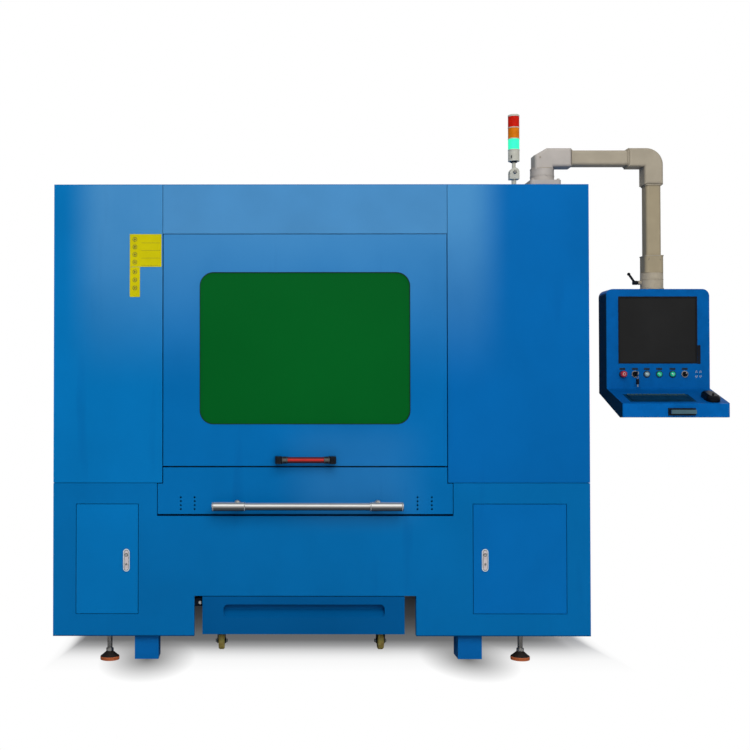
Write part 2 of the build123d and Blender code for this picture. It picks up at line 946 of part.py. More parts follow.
def scrap_drawer():
    """The rolling tray: a folded box with a scoop pull pressed into its front."""
    front = block(drawer_left, drawer_right, 0, drawer_length, drawer_bottom, drawer_top)
    hollow = block(drawer_left + drawer_wall, drawer_right - drawer_wall,
                   drawer_wall + scoop_depth + scoop_backing, drawer_length - drawer_wall,
                   drawer_bottom + drawer_wall, drawer_top + past)
    outline = make_face(Polyline((0, scoop_bottom), (0, scoop_top), (scoop_depth, scoop_top),
                                 (scoop_depth, scoop_bottom + scoop_rise), close=True))
    scoop = extrude(Plane.YZ * outline, scoop_right - scoop_left)
    mouth = front_rectangle(scoop_left, scoop_right, scoop_bottom, scoop_top, scoop_radius)
    scoop = (Pos(scoop_left, 0, 0) * scoop) & backward(mouth, 0, scoop_depth)
    upper = block(drawer_left + scoop_hollow_inset, drawer_right - scoop_hollow_inset, drawer_wall,
                  scoop_depth + 2 * scoop_backing, scoop_top + scoop_roof, drawer_top + past)
    return front - hollow - scoop - upper


def caster_places():
    """The middle of each caster's swivel, front pair first."""
    middle = (drawer_left + drawer_right) / 2
    places = {}
    for row, y in (("front", caster_front_inset), ("rear", drawer_length - caster_front_inset)):
        for side, x in (("left", middle - caster_spread / 2), ("right", middle + caster_spread / 2)):
            places[f"{row}_{side}"] = (x, y)
    return places


def caster_fork(x, y):
    """A pressed fork with a round head under the drawer and an axle through its cheeks."""
    head_top = drawer_bottom - swivel_plate - swivel_gap
    half = wheel_width / 2 + fork_gap
    crown_z = 2 * wheel_radius + crown_gap
    crown = rod_z(crown_radius, head_top - crown_z, x, y, crown_z)
    axle_y = y + caster_trail
    plate = block(x - half - fork_wall, x + half + fork_wall, y - fork_front, axle_y + fork_back,
                  crown_z, crown_z + fork_sheet)
    fork = crown + plate
    for side in (-1, 1):
        x0, x1 = sorted((x + side * half, x + side * (half + fork_wall)))
        cheek_top = crown_z + fork_cheek_inset
        cheek_low = wheel_radius - fork_cheek_drop
        cheek_face = make_face(Polyline((y - fork_front + fork_cheek_inset, cheek_top),
                                        (axle_y + fork_back - fork_cheek_inset, cheek_top),
                                        (axle_y + fork_cheek_foot, cheek_low),
                                        (axle_y - fork_cheek_foot, cheek_low), close=True))
        cheek = Pos(x0, 0, 0) * extrude(Plane.YZ * cheek_face, x1 - x0)
        fork += cheek
    fork += rod_x(caster_axle_radius, 2 * (half + fork_wall + axle_end), x, axle_y, wheel_radius)
    return fork


def caster_mounts():
    """The plates under the drawer that carry the four swivels."""
    plates = []
    for x, y in caster_places().values():
        x0 = x - caster_plate_width / 2
        y0 = y - caster_plate_depth / 2
        plates.append(block(x0, x0 + caster_plate_width, y0, y0 + caster_plate_depth,
                            drawer_bottom - swivel_plate, drawer_bottom))
    return plates


def caster_wheel(x, y):
    """A wheel with a rounded tread and a hub."""
    bore = caster_axle_radius + wheel_bore_clearance
    face = wheel_width / 2
    web = face - wheel_web_depth
    half_profile = [
        (bore, face),
        (wheel_hub_radius, face),
        (wheel_web_radius, web),
        (wheel_radius - wheel_tread, web),
        (wheel_radius - wheel_shoulder, face),
        (wheel_radius, face - wheel_edge),
    ]
    points = [(radius, -depth) for radius, depth in half_profile]
    points.extend(reversed(half_profile))
    profile = make_face(Polyline(*points, close=True))
    wheel = revolve(Plane.XZ * profile, Axis.Z)
    return Pos(x, y + caster_trail, wheel_radius) * Rot(0, 90, 0) * wheel


# Motion system over the table

rail_x = (left_leg_left + frame_tube / 2, right_leg_left + frame_tube / 2)
rail_front = (cabinet_depth - rail_length) / 2
beam_bottom = bed_top + rail_height + block_height - shoe_overlap
beam_top = beam_bottom + beam_height
beam_front = gantry_park_y - beam_depth / 2
head_rail_z = (beam_bottom + head_rail_inset, beam_top - head_rail_inset - head_rail_height)
saddle_face = beam_front - head_rail_depth - saddle_thickness
head_face = saddle_face - guide_depth
head_bottom = table_top + head_clearance_over_table


def y_rails():
    """The two profiled rails on top of the bed."""
    rails = []
    for x in rail_x:
        rail = block(x - rail_width / 2, x + rail_width / 2, rail_front, rail_front + rail_length,
                     bed_top, bed_top + rail_height)
        for side in (-1, 1):
            g0, g1 = sorted((x + side * rail_width / 2, x + side * (rail_width / 2 - rail_groove)))
            rail -= block(g0, g1, rail_front - past, rail_front + rail_length + past,
                          bed_top + rail_groove_low, bed_top + rail_groove_high)
        rails.append(rail)
    return rails


def gantry_beam():
    """The cross beam on its four bearing blocks, with the head's rails on its front."""
    x0 = left_leg_left
    x1 = right_leg_right
    beam = block(x0, x1, beam_front, beam_front + beam_depth, beam_bottom, beam_top)
    beam -= block(x0 - past, x1 + past, beam_front + beam_wall, beam_front + beam_depth - beam_wall,
                  beam_bottom + beam_wall, beam_top - beam_wall)
    for x in rail_x:
        shoe = block(x - shoe_width / 2, x + shoe_width / 2, beam_front + shoe_inset,
                     beam_front + beam_depth - shoe_inset, bed_top + shoe_lift, beam_bottom)
        groove = rail_width / 2 + block_running_gap
        shoe -= block(x - groove, x + groove, beam_front - past, beam_front + beam_depth + past,
                      bed_top, bed_top + rail_height + block_running_gap)
        beam += shoe
    for z in head_rail_z:
        beam += block(x0 + head_rail_end, x1 - head_rail_end, beam_front - head_rail_depth, beam_front,
                      z, z + head_rail_height)
    return beam


def head_carriage():
    """The saddle on the beam's rails, with the guide for the head's slide."""
    x0 = carriage_park_x - carriage_width / 2
    x1 = carriage_park_x + carriage_width / 2
    face = saddle_face
    saddle = block(x0, x1, face, beam_front - saddle_gap, beam_bottom, beam_top + saddle_rise)
    for z in head_rail_z:
        saddle -= block(x0 - past, x1 + past, beam_front - head_rail_depth - block_running_gap, beam_front,
                        z - block_running_gap, z + head_rail_height + block_running_gap)
    guide_left = carriage_park_x - guide_width / 2
    guide_top = beam_top + guide_rise
    saddle += block(guide_left, guide_left + guide_width, face - guide_depth, face, beam_bottom, guide_top)
    motor_left = carriage_park_x - motor_width / 2
    motor_right = carriage_park_x + motor_width / 2
    motor = block(motor_left, motor_right, face - motor_front, face - motor_front + motor_depth,
                  guide_top, guide_top + motor_height)
    bracket = block(motor_left, motor_right, face, face + motor_plate, beam_top + saddle_rise, guide_top)
    return saddle + motor + bracket


def cutting_head():
    """The head: slide plate, square optics body, collimator on top and a stepped cone below."""
    x = carriage_park_x
    y0 = head_face - block_running_gap
    body_back = y0 - head_plate
    body_bottom = beam_bottom - optics_drop
    body_top = beam_top - optics_top_drop
    axis_y = body_back - optics_width / 2
    plate = block(x - head_width / 2, x + head_width / 2, body_back, y0, beam_bottom + head_plate_low,
                  beam_top + head_plate_rise)
    guide = block(x - head_block_width / 2, x + head_block_width / 2, y0, y0 + head_block_depth,
                  beam_bottom + head_block_low, beam_top + saddle_rise)
    half = guide_width / 2 + block_running_gap
    guide -= block(x - half, x + half, y0 - past, y0 + head_block_depth + past, beam_bottom,
                   beam_top + saddle_rise + past)
    body = block(x - optics_width / 2, x + optics_width / 2, body_back - optics_width, body_back,
                 body_bottom, body_top)
    body = fillet(body.edges().filter_by(Axis.Z), optics_corner)
    top = rod_z(collimator_radius, collimator_length, x, axis_y, body_top)
    neck = rod_z(head_neck_radius, body_bottom - head_bottom, x, axis_y, head_bottom)
    sleeve = rod_z(head_sleeve_radius, head_sleeve_height, x, axis_y, body_bottom - head_sleeve_height)
    return plate + guide + body + top + neck + sleeve


def nozzle():
    """The turned copper tip with its through hole."""
    y = head_face - block_running_gap - head_plate - optics_width / 2
    shoulder = -nozzle_collar - nozzle_body
    tip = shoulder - nozzle_cone
    points = [
        (nozzle_bore, tip),
        (nozzle_tip_radius, tip),
        (nozzle_radius, shoulder),
        (nozzle_radius, -nozzle_collar),
        (nozzle_collar_radius, -nozzle_collar),
        (nozzle_collar_radius, 0),
        (nozzle_bore, 0),
    ]
    profile = make_face(Polyline(*points, close=True))
    return Pos(carriage_park_x, y, head_bottom) * revolve(Plane.XZ * profile, Axis.Z)


# Console arm

arm_top = arm_axis_z + socket_size / 2
socket_half = socket_size / 2
socket_low = arm_axis_z - socket_half
elbow_x = arm_x + arm_reach
cross_left = arm_x + lower_elbow_reach
cross_right = elbow_x - socket_half - upper_elbow_reach
drop_top = arm_axis_z - upper_elbow_drop


def arm_base():
    """The roof flange and the fixed half of the swivel."""
    flange = extrude(RectangleRounded(arm_flange_size, arm_flange_size, arm_flange_corner),
                     arm_flange_thickness)
    flange_top = roof_height + arm_flange_thickness
    column = rod_z(swivel_radius, swivel_seam_z - swivel_gap - flange_top, arm_x, arm_y, flange_top)
    return Pos(arm_x, arm_y, roof_height) * flange + column


def moulded_elbow(side):
    """An elbow drawn from the front, as thick as a socket, with rounded long edges."""
    body = Pos(0, arm_y - socket_half, 0) * extrude(Plane.XZ * side, -socket_size)
    return fillet(body.edges().group_by(Axis.Y)[0] + body.edges().group_by(Axis.Y)[-1], arm_corner)


def arm_lower_elbow():
    """The elbow on the swivel, with its mitred outer corner."""
    points = [
        (arm_x - socket_half, swivel_seam_z),
        (arm_x + socket_half, swivel_seam_z),
        (arm_x + socket_half, socket_low),
        (cross_left, socket_low),
        (cross_left, arm_top),
        (arm_x + lower_mitre_run, arm_top),
        (arm_x - socket_half, arm_top - lower_mitre_drop),
    ]
    elbow = moulded_elbow(make_face(Polyline(*points, close=True)))
    return elbow + rod_z(swivel_radius, turret_height, arm_x, arm_y, swivel_seam_z)


def square_tube(outer, length, corner):
    """A square tube with rounded corners that rises from the floor."""
    skin = extrude(RectangleRounded(outer, outer, corner), length)
    inner = outer - 2 * arm_wall
    return skin - extrude(RectangleRounded(inner, inner, corner - arm_wall), length)


def arm_cross_tube():
    """The horizontal square tube between the elbows."""
    tube = square_tube(arm_tube, cross_right - cross_left, arm_corner)
    return Pos(cross_left, arm_y, arm_axis_z) * Rot(0, 90, 0) * tube


def arm_upper_elbow():
    """The large outer elbow that turns the arm down."""
    right = elbow_x + socket_half
    inner = (elbow_x - socket_half, socket_low)
    bend = upper_elbow_radius
    arc = RadiusArc((right - bend, arm_top), (right, arm_top - bend), bend)
    before = Polyline((cross_right, socket_low), (cross_right, arm_top), (right - bend, arm_top))
    after = Polyline((right, arm_top - bend), (right, drop_top), (inner[0], drop_top), inner,
                     (cross_right, socket_low))
    return moulded_elbow(make_face(before.edges() + arc.edges() + after.edges()))


def arm_drop_tube():
    """The vertical square tube and the socket at its foot."""
    tube = square_tube(arm_tube, drop_top - drop_bottom, arm_corner)
    socket = extrude(RectangleRounded(socket_size, socket_size, drop_socket_corner), socket_length)
    return Pos(elbow_x, arm_y, drop_bottom) * tube + Pos(elbow_x, arm_y, socket_bottom) * socket


lever_x = elbow_x - neck_radius - lever_standoff


def clamp_lever():
    """The clamp lever's screw, hub and tilted arm."""
    screw_end = elbow_x - neck_radius + lever_boss_length / 2
    screw = rod_x(lever_screw_radius - lever_screw_clearance, screw_end - lever_x,
                  (screw_end + lever_x) / 2, arm_y, lever_z)
    hub = rod_x(lever_hub_radius, 2 * lever_hub_radius, lever_x, arm_y, lever_z)
    run = math.sin(math.radians(lever_arm_tilt)) * lever_arm_length
    rise = math.cos(math.radians(lever_arm_tilt)) * lever_arm_length
    rod = Rot(0, -lever_arm_tilt, 0) * Cylinder(lever_arm_radius, lever_arm_length)
    arm = Pos(lever_x - run / 2, arm_y, lever_z + rise / 2) * rod
    knob = Pos(lever_x - run, arm_y, lever_z + rise) * Sphere(lever_knob_radius)
    return screw + hub + arm + knob


def console_neck():
    """The turning collar between the arm's socket and the console, with the clamp screw's boss."""
    collar = rod_z(neck_radius, socket_bottom - swivel_gap - neck_bottom, elbow_x, arm_y, neck_bottom)
    boss_length = 2 * lever_boss_length
    boss = rod_x(lever_boss_radius, boss_length, elbow_x - neck_radius, arm_y, lever_z)
    bore = rod_x(lever_screw_radius, boss_length + 2 * past, elbow_x - neck_radius, arm_y, lever_z)
    return collar + boss - bore


# Console

console_left = console_centre_x - console_width / 2
console_back_y = console_face_y + console_depth
slope_back = (console_face_y, console_bottom)
slope_front = (shelf_front_y, console_bottom - shelf_front_drop)
slope_degrees = math.degrees(math.atan2(shelf_front_drop, shelf_reach))
control_x = tuple(console_centre_x + offset_x for offset_x in control_offsets)
screen_left = console_centre_x - screen_width / 2
barrel_radius = control_hole_radius - control_clearance


def slope_point(share, lift=0.0):
    """A point on the shelf's sloping top, by its share of the way to the front."""
    y = slope_back[0] + (slope_front[0] - slope_back[0]) * share
    z = slope_back[1] + (slope_front[1] - slope_back[1]) * share
    return y, z + lift


def console_housing():
    """The console's box with its sloping shelf, screen recess, keyboard well and control holes."""
    profile = make_face(Polyline(
        (console_back_y, console_bottom - shelf_heel), (console_back_y, neck_bottom),
        (console_face_y, neck_bottom), slope_back, slope_front,
        (slope_front[0], slope_front[1] - shelf_thickness),
        (slope_front[0] + shelf_toe, slope_front[1] - shelf_thickness - shelf_toe_drop), close=True))
    body = Pos(console_left, 0, 0) * extrude(Plane.YZ * profile, console_width)
    uprights = body.edges().filter_by(Axis.Y).group_by(Axis.Z)[-1]
    body = fillet(uprights, console_radius)
    corners = body.edges().filter_by(Axis.Z).group_by(Axis.Y)[0]
    body = fillet(corners, shelf_corner)
    body -= block(screen_left, screen_left + screen_width, console_face_y - past,
                  console_face_y + screen_thickness + screen_recess,
                  screen_bottom, screen_top)
    for x in control_x:
        body -= rod_y(control_hole_radius, past + control_hole_depth, x, console_face_y - past,
                      control_row_z)
    speaker_x = console_centre_x + speaker_offset
    for column in range(2):
        for row in range(3):
            x = speaker_x + (column - 0.5) * speaker_pitch
            z = control_row_z + (row - 1) * speaker_row_pitch
            body -= rod_y(speaker_radius, past + speaker_depth, x, console_face_y - past, z)
    return body - keyboard_block(keyboard_well_gap, keyboard_well)


def keyboard_block(clearance, height):
    """A slab laid in the slope, used for the keyboard and for its well."""
    y, z = slope_point(keyboard_share)
    slab = Box(keyboard_width + 2 * clearance, keyboard_depth + 2 * clearance, height,
               align=(Align.CENTER, Align.CENTER, Align.MIN))
    place = Pos(console_centre_x + keyboard_offset, y, z) * Rot(slope_degrees, 0, 0)
    return place * Pos(0, 0, -keyboard_thickness) * slab


def console_screen():
    """The screen's flat panel in the console's recess."""
    front = console_face_y + screen_recess
    return block(screen_left + screen_gap, screen_left + screen_width - screen_gap, front,
                 front + screen_thickness, screen_bottom + screen_gap, screen_top - screen_gap)


def keyboard():
    """The membrane keyboard, flush in its well, with a row pattern of raised keys."""
    board = keyboard_block(0.0, keyboard_thickness)
    y, z = slope_point(keyboard_share)
    frame = Pos(console_centre_x + keyboard_offset, y, z) * Rot(slope_degrees, 0, 0)
    strip = Box(keyboard_width - 2 * key_row_end, key_row_depth, key_row_height,
                align=(Align.CENTER, Align.CENTER, Align.MIN))
    for row in range(key_rows):
        board += frame * Pos(0, (row - (key_rows - 1) / 2) * key_pitch, 0) * strip
    return board


def mouse():
    """A hand mouse on the shelf, domed and longer than wide."""
    y, z = slope_point(mouse_share)
    shell = Box(mouse_width, mouse_length, mouse_height, align=(Align.CENTER, Align.CENTER, Align.MIN))
    shell = fillet(shell.edges().filter_by(Axis.Z), mouse_corner)
    shell = fillet(shell.edges().group_by(Axis.Z)[-1], mouse_crown)
    return Pos(console_centre_x + mouse_offset, y, z) * Rot(slope_degrees, 0, 0) * shell


pull_z = slope_front[1] - shelf_thickness / 2 - pull_drop
pull_x = console_centre_x + pull_offset


def console_pull():
    """The cast pull on the shelf's front edge."""
    plate = shelf_front_y - pull_plate
    half = pull_length / 2
    plate_low = pull_z - pull_plate_height / 2
    bow_low = pull_z - pull_bow_height / 2
    bow_half = half - pull_bow_inset
    room_half = bow_half - pull_post
    bow_front = shelf_front_y - pull_reach
    back = block(pull_x - half, pull_x + half, plate, shelf_front_y,
                 plate_low, plate_low + pull_plate_height)
    bow = block(pull_x - bow_half, pull_x + bow_half, bow_front, plate, bow_low, bow_low + pull_bow_height)
    bow -= block(pull_x - room_half, pull_x + room_half, bow_front + pull_bar, plate,
                 bow_low - past, bow_low + pull_bow_height + past)
    return back + bow


def stop_button():
    """The emergency stop's mushroom head on its barrel."""
    x = control_x[0]
    head_front = console_face_y - stop_proud
    head = rod_y(stop_radius, stop_head, x, head_front, control_row_z)
    head = fillet(head.edges().group_by(Axis.Y)[0], stop_round)
    return head + rod_y(barrel_radius, stop_stem, x, head_front + stop_head, control_row_z)


def push_button(index):
    """A round button with a softened front edge."""
    cap = rod_y(barrel_radius, button_length, control_x[index], console_face_y - button_proud,
                control_row_z)
    return fillet(cap.edges().group_by(Axis.Y)[0], button_round)


def key_switch():
    """The lock barrel with the upright key in it."""
    x = control_x[1]
    face = console_face_y - barrel_proud
    barrel = rod_y(barrel_radius, barrel_length, x, face, control_row_z)
    key_low = control_row_z - key_width / 2
    key = block(x - key_thickness / 2, x + key_thickness / 2, face - key_length, face,
                key_low, key_low + key_width)
    return barrel + key


def mode_selector():
    """The turning knob with a raised grip bar."""
    x = control_x[5]
    face = console_face_y - barrel_proud
    barrel = rod_y(barrel_radius, barrel_length, x, face, control_row_z)
    grip_low = control_row_z - selector_length / 2
    grip = block(x - selector_width / 2, x + selector_width / 2, face - selector_proud, face,
                 grip_low, grip_low + selector_length)
    return barrel + grip


# Tower light


def tower_bracket():
    """The foot on the roof and the fixed fork of the folding knuckle."""
    foot = rod_z(light_foot_radius, light_foot_thickness, light_x, light_y, roof_height)
    slot_floor = light_knuckle_z - light_knuckle_radius
    fork_low = slot_floor - light_fork_floor
    post_height = slot_floor - light_post_gap - roof_height
    post = rod_z(light_post_radius, post_height, light_x, light_y, roof_height)
    front = light_y - light_fork_half
    fork = rod_y(light_knuckle_radius, 2 * light_fork_half, light_x, front, light_knuckle_z)
    fork += block(light_x - light_knuckle_radius, light_x + light_knuckle_radius, front,
                  front + 2 * light_fork_half, fork_low, light_knuckle_z)
    slot = block(light_x - light_knuckle_radius - past, light_x + light_knuckle_radius + past,
                 light_y - light_slot_half, light_y + light_slot_half,
                 slot_floor, light_knuckle_z + light_knuckle_radius + past)
    pin = rod_y(light_pin_radius, 2 * (light_fork_half + light_pin_end), light_x, front - light_pin_end,
                light_knuckle_z)
    return foot + post + (fork - slot) + pin


def tower_stem():
    """The folding half of the knuckle, the stem and the lamp base."""
    eye_front = light_y - light_eye_length / 2
    eye = rod_y(light_eye_radius, light_eye_length, light_x, eye_front, light_knuckle_z)
    stem = rod_z(light_stem_radius, light_stem_length, light_x, light_y, light_knuckle_z)
    base = rod_z(light_radius, light_module, light_x, light_y, light_stem_top)
    bore = rod_y(light_pin_radius + hinge_clearance, light_eye_length + 2 * past, light_x,
                 eye_front - past, light_knuckle_z)
    return eye + stem + base - bore


def tower_lens(index):
    """A lens ring, counted up from the lamp base."""
    z = light_stem_top + light_module * (index + 1)
    return rod_z(light_radius, light_module, light_x, light_y, z)


def tower_cap():
    """The low cap over the top lens."""
    z = light_stem_top + light_module * 4
    cap = rod_z(light_radius + light_cap_rim, light_cap_height, light_x, light_y, z)
    return fillet(cap.edges().group_by(Axis.Z)[-1], light_cap_round)


def build():
    """Write every piece of the machine."""
    os.makedirs("parts", exist_ok=True)
    keep("base_frame", base_frame())
    keep("levelling_feet", levelling_feet())
    keep("base_front_panel", base_front_panel())
    keep("left_side_panel", side_panel(-1))
    keep("right_side_panel", side_panel(1))
    keep("rear_panel", rear_panel())
    keep("roof_panel", roof_panel())
    keep("left_column_panel", column_panel(-half_width, bay_left - seam / 2))
    keep("right_column_panel", column_panel(bay_right + seam / 2, half_width))
    keep("header_panel", header_panel())
    keep("front_door", front_door())
    keep("door_window", door_window())
    keep("door_handle_grip", door_handle_grip())
    keep("door_handle_brackets", door_handle_brackets())
    keep("table_front_panel", table_front_panel())
    keep("work_table_frame", work_table_frame())
    keep("table_slats", table_slats())
    keep("table_handle_bar", table_handle_bar())
    lock_x = (left_service_right - lock_inset, right_service_left + lock_inset)
    left_door = service_door(left_service_left, left_service_right, service_pin_x[0], lock_x[0])
    right_door = service_door(right_service_left, right_service_right, service_pin_x[1], lock_x[1])
    keep("left_service_door", left_door)
    keep("right_service_door", right_door)
    for side, x in zip(("left", "right"), lock_x):
        keep(f"{side}_lock_dish", lock_dish(x))
        keep(f"{side}_lock_lever", lock_lever(x))
    drawer = scrap_drawer()
    keep("scrap_drawer", drawer.fuse(*caster_mounts()))
    for place, (x, y) in caster_places().items():
        keep(f"{place}_caster_fork", caster_fork(x, y))
        keep(f"{place}_caster_wheel", caster_wheel(x, y))
    keep("gantry_beam", gantry_beam())
    keep("head_carriage", head_carriage())
    keep("cutting_head", cutting_head())
    keep("nozzle", nozzle())
    keep("arm_base", arm_base())
    keep("arm_lower_elbow", arm_lower_elbow())
    keep("arm_cross_tube", arm_cross_tube())
    keep("arm_upper_elbow", arm_upper_elbow())
    keep("arm_drop_tube", arm_drop_tube())
    keep("clamp_lever", clamp_lever())
    keep("console_housing", console_housing() + console_neck())
    keep("console_screen", console_screen())
    keep("keyboard", keyboard())
    keep("mouse", mouse())
    keep("console_pull", console_pull())
    keep("stop_button", stop_button())
    keep("key_switch", key_switch())
    keep("clear_button", push_button(2))
    keep("start_button", push_button(3))
    keep("feed_button", push_button(4))
    keep("mode_selector", mode_selector())
    keep("tower_bracket", tower_bracket())
    keep("tower_stem", tower_stem())
    for index, colour in enumerate(("green", "amber", "red")):
        keep(f"tower_lens_{colour}", tower_lens(index))
    keep("tower_cap", tower_cap())


if __name__ == "__main__":
    build()
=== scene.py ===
import math
import random

import bmesh
import bpy
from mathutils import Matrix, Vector


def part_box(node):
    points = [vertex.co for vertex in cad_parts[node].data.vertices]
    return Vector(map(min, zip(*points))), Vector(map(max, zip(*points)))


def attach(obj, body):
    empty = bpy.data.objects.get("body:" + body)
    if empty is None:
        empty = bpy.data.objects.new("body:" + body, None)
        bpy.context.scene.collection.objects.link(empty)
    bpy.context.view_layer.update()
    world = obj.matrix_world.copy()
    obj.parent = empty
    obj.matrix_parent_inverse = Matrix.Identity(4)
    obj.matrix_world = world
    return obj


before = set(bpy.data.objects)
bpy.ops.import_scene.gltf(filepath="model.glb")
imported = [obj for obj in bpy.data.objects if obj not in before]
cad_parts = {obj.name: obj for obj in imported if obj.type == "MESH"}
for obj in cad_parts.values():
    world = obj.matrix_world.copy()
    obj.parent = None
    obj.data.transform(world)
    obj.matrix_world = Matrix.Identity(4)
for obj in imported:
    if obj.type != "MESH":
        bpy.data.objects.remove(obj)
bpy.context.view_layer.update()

bl_info = {
    "name": "Laser Cutter Dressing",
    "version": (1, 0, 0),
    "blender": (4, 5, 0),
    "location": "3D Viewport > Sidebar > Laser Cutter",
    "description": "Finishes and small fittings for the enclosed laser cutting machine",
    "category": "Object",
}

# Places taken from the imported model

BASE_LO, BASE_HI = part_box("base_front_panel")
FRONT_Y = BASE_LO.y
CABINET_X = (BASE_LO.x + BASE_HI.x) / 2
ROOF_LO, ROOF_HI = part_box("roof_panel")
CASTER_PLACES = ("front_left", "front_right", "rear_left", "rear_right")
# A border past everything, for the last band of a finish
FAR = 99.0
# Two faces that meet at more than this angle keep a sharp edge
SHARP = math.radians(35)


def colour_setting(label, about, default):
    """A colour in the sidebar."""
    return bpy.props.FloatVectorProperty(
        name=label, description=about, subtype="COLOR", size=3, min=0, max=1, default=default)


def length_setting(label, about, default):
    """A length in the sidebar, in metres."""
    return bpy.props.FloatProperty(
        name=label, description=about, subtype="DISTANCE", unit="LENGTH", default=default)


class FinishSettings(bpy.types.PropertyGroup):
    """Colours of the machine's main finishes."""

    blue: colour_setting("Cabinet Blue", "Coat on the cabinet's sides, back and roof", (0.0, 0.130, 0.385))
    arm: colour_setting("Arm Grey", "Coat on the console arm", (0.37, 0.325, 0.25))
    glass: colour_setting("Filter Green", "Tint of the window's filter glass", (0.0, 0.108, 0.014))
    label: colour_setting("Label Yellow", "Colour of the plain yellow plate", (0.55, 0.490, 0.002))
    grip: colour_setting("Grip Red", "Colour of the door grip", (0.45, 0.022, 0.018))
    coat_roughness: bpy.props.FloatProperty(
        name="Coat Roughness", description="Roughness of the powder coat", subtype="FACTOR",
        min=0, max=1, default=0.38)


class FittingSettings(bpy.types.PropertyGroup):
    """Sizes of the small fittings."""

    gasket: length_setting("Window Gasket", "Width of the rubber round the window", 0.0022)
    screw: length_setting("Panel Screw", "Head radius of the cabinet screws", 0.0065)
    bezel: length_setting("Control Bezel", "Outer radius of the rings round the controls", 0.0145)
    key_gap: length_setting("Key Gap", "Gap between keyboard keys", 0.003)


class StageSettings(bpy.types.PropertyGroup):
    """Where the camera stands, and the light."""

    camera_side: length_setting("Camera Side", "Camera's distance left of the cabinet's middle", 0.290)
    camera_distance: length_setting("Camera Distance", "Camera's distance from the cabinet's front", 4.570)
    camera_height: length_setting("Camera Height", "Height of the camera", 1.124)
    focal_pixels: bpy.props.FloatProperty(
        name="Focal Length", description="Focal length in pixels of the photograph", default=1088.0)
    centre_pixel: bpy.props.FloatProperty(
        name="Centre Column", description="Pixel column that the camera faces", default=248.0)
    pitch: bpy.props.FloatProperty(
        name="Tilt Up", description="Upward tilt of the camera", subtype="ANGLE", default=0.0172)
    turn: bpy.props.FloatProperty(
        name="Turn Left", description="Turn of the camera to the left", subtype="ANGLE", default=0.004)
    world_light: bpy.props.FloatProperty(
        name="Room Light", description="Strength of the even room light", default=0.60)
    key_power: bpy.props.FloatProperty(
        name="Key Power", description="Power of the large front lamp", subtype="POWER", default=170.0)


# Finishes


def fill(tree, node, inputs):
    """Link or fill a node's inputs, by name or by number."""
    for slot, value in inputs.items():
        if isinstance(value, bpy.types.NodeSocket):
            tree.links.new(value, node.inputs[slot])
        else:
            node.inputs[slot].default_value = value


def add_node(tree, kind, inputs=None, **options):
    """A new node with its options set and its inputs filled."""
    node = tree.nodes.new("ShaderNode" + kind)
    for option, value in options.items():
        setattr(node, option, value)
    fill(tree, node, inputs or {})
    return node


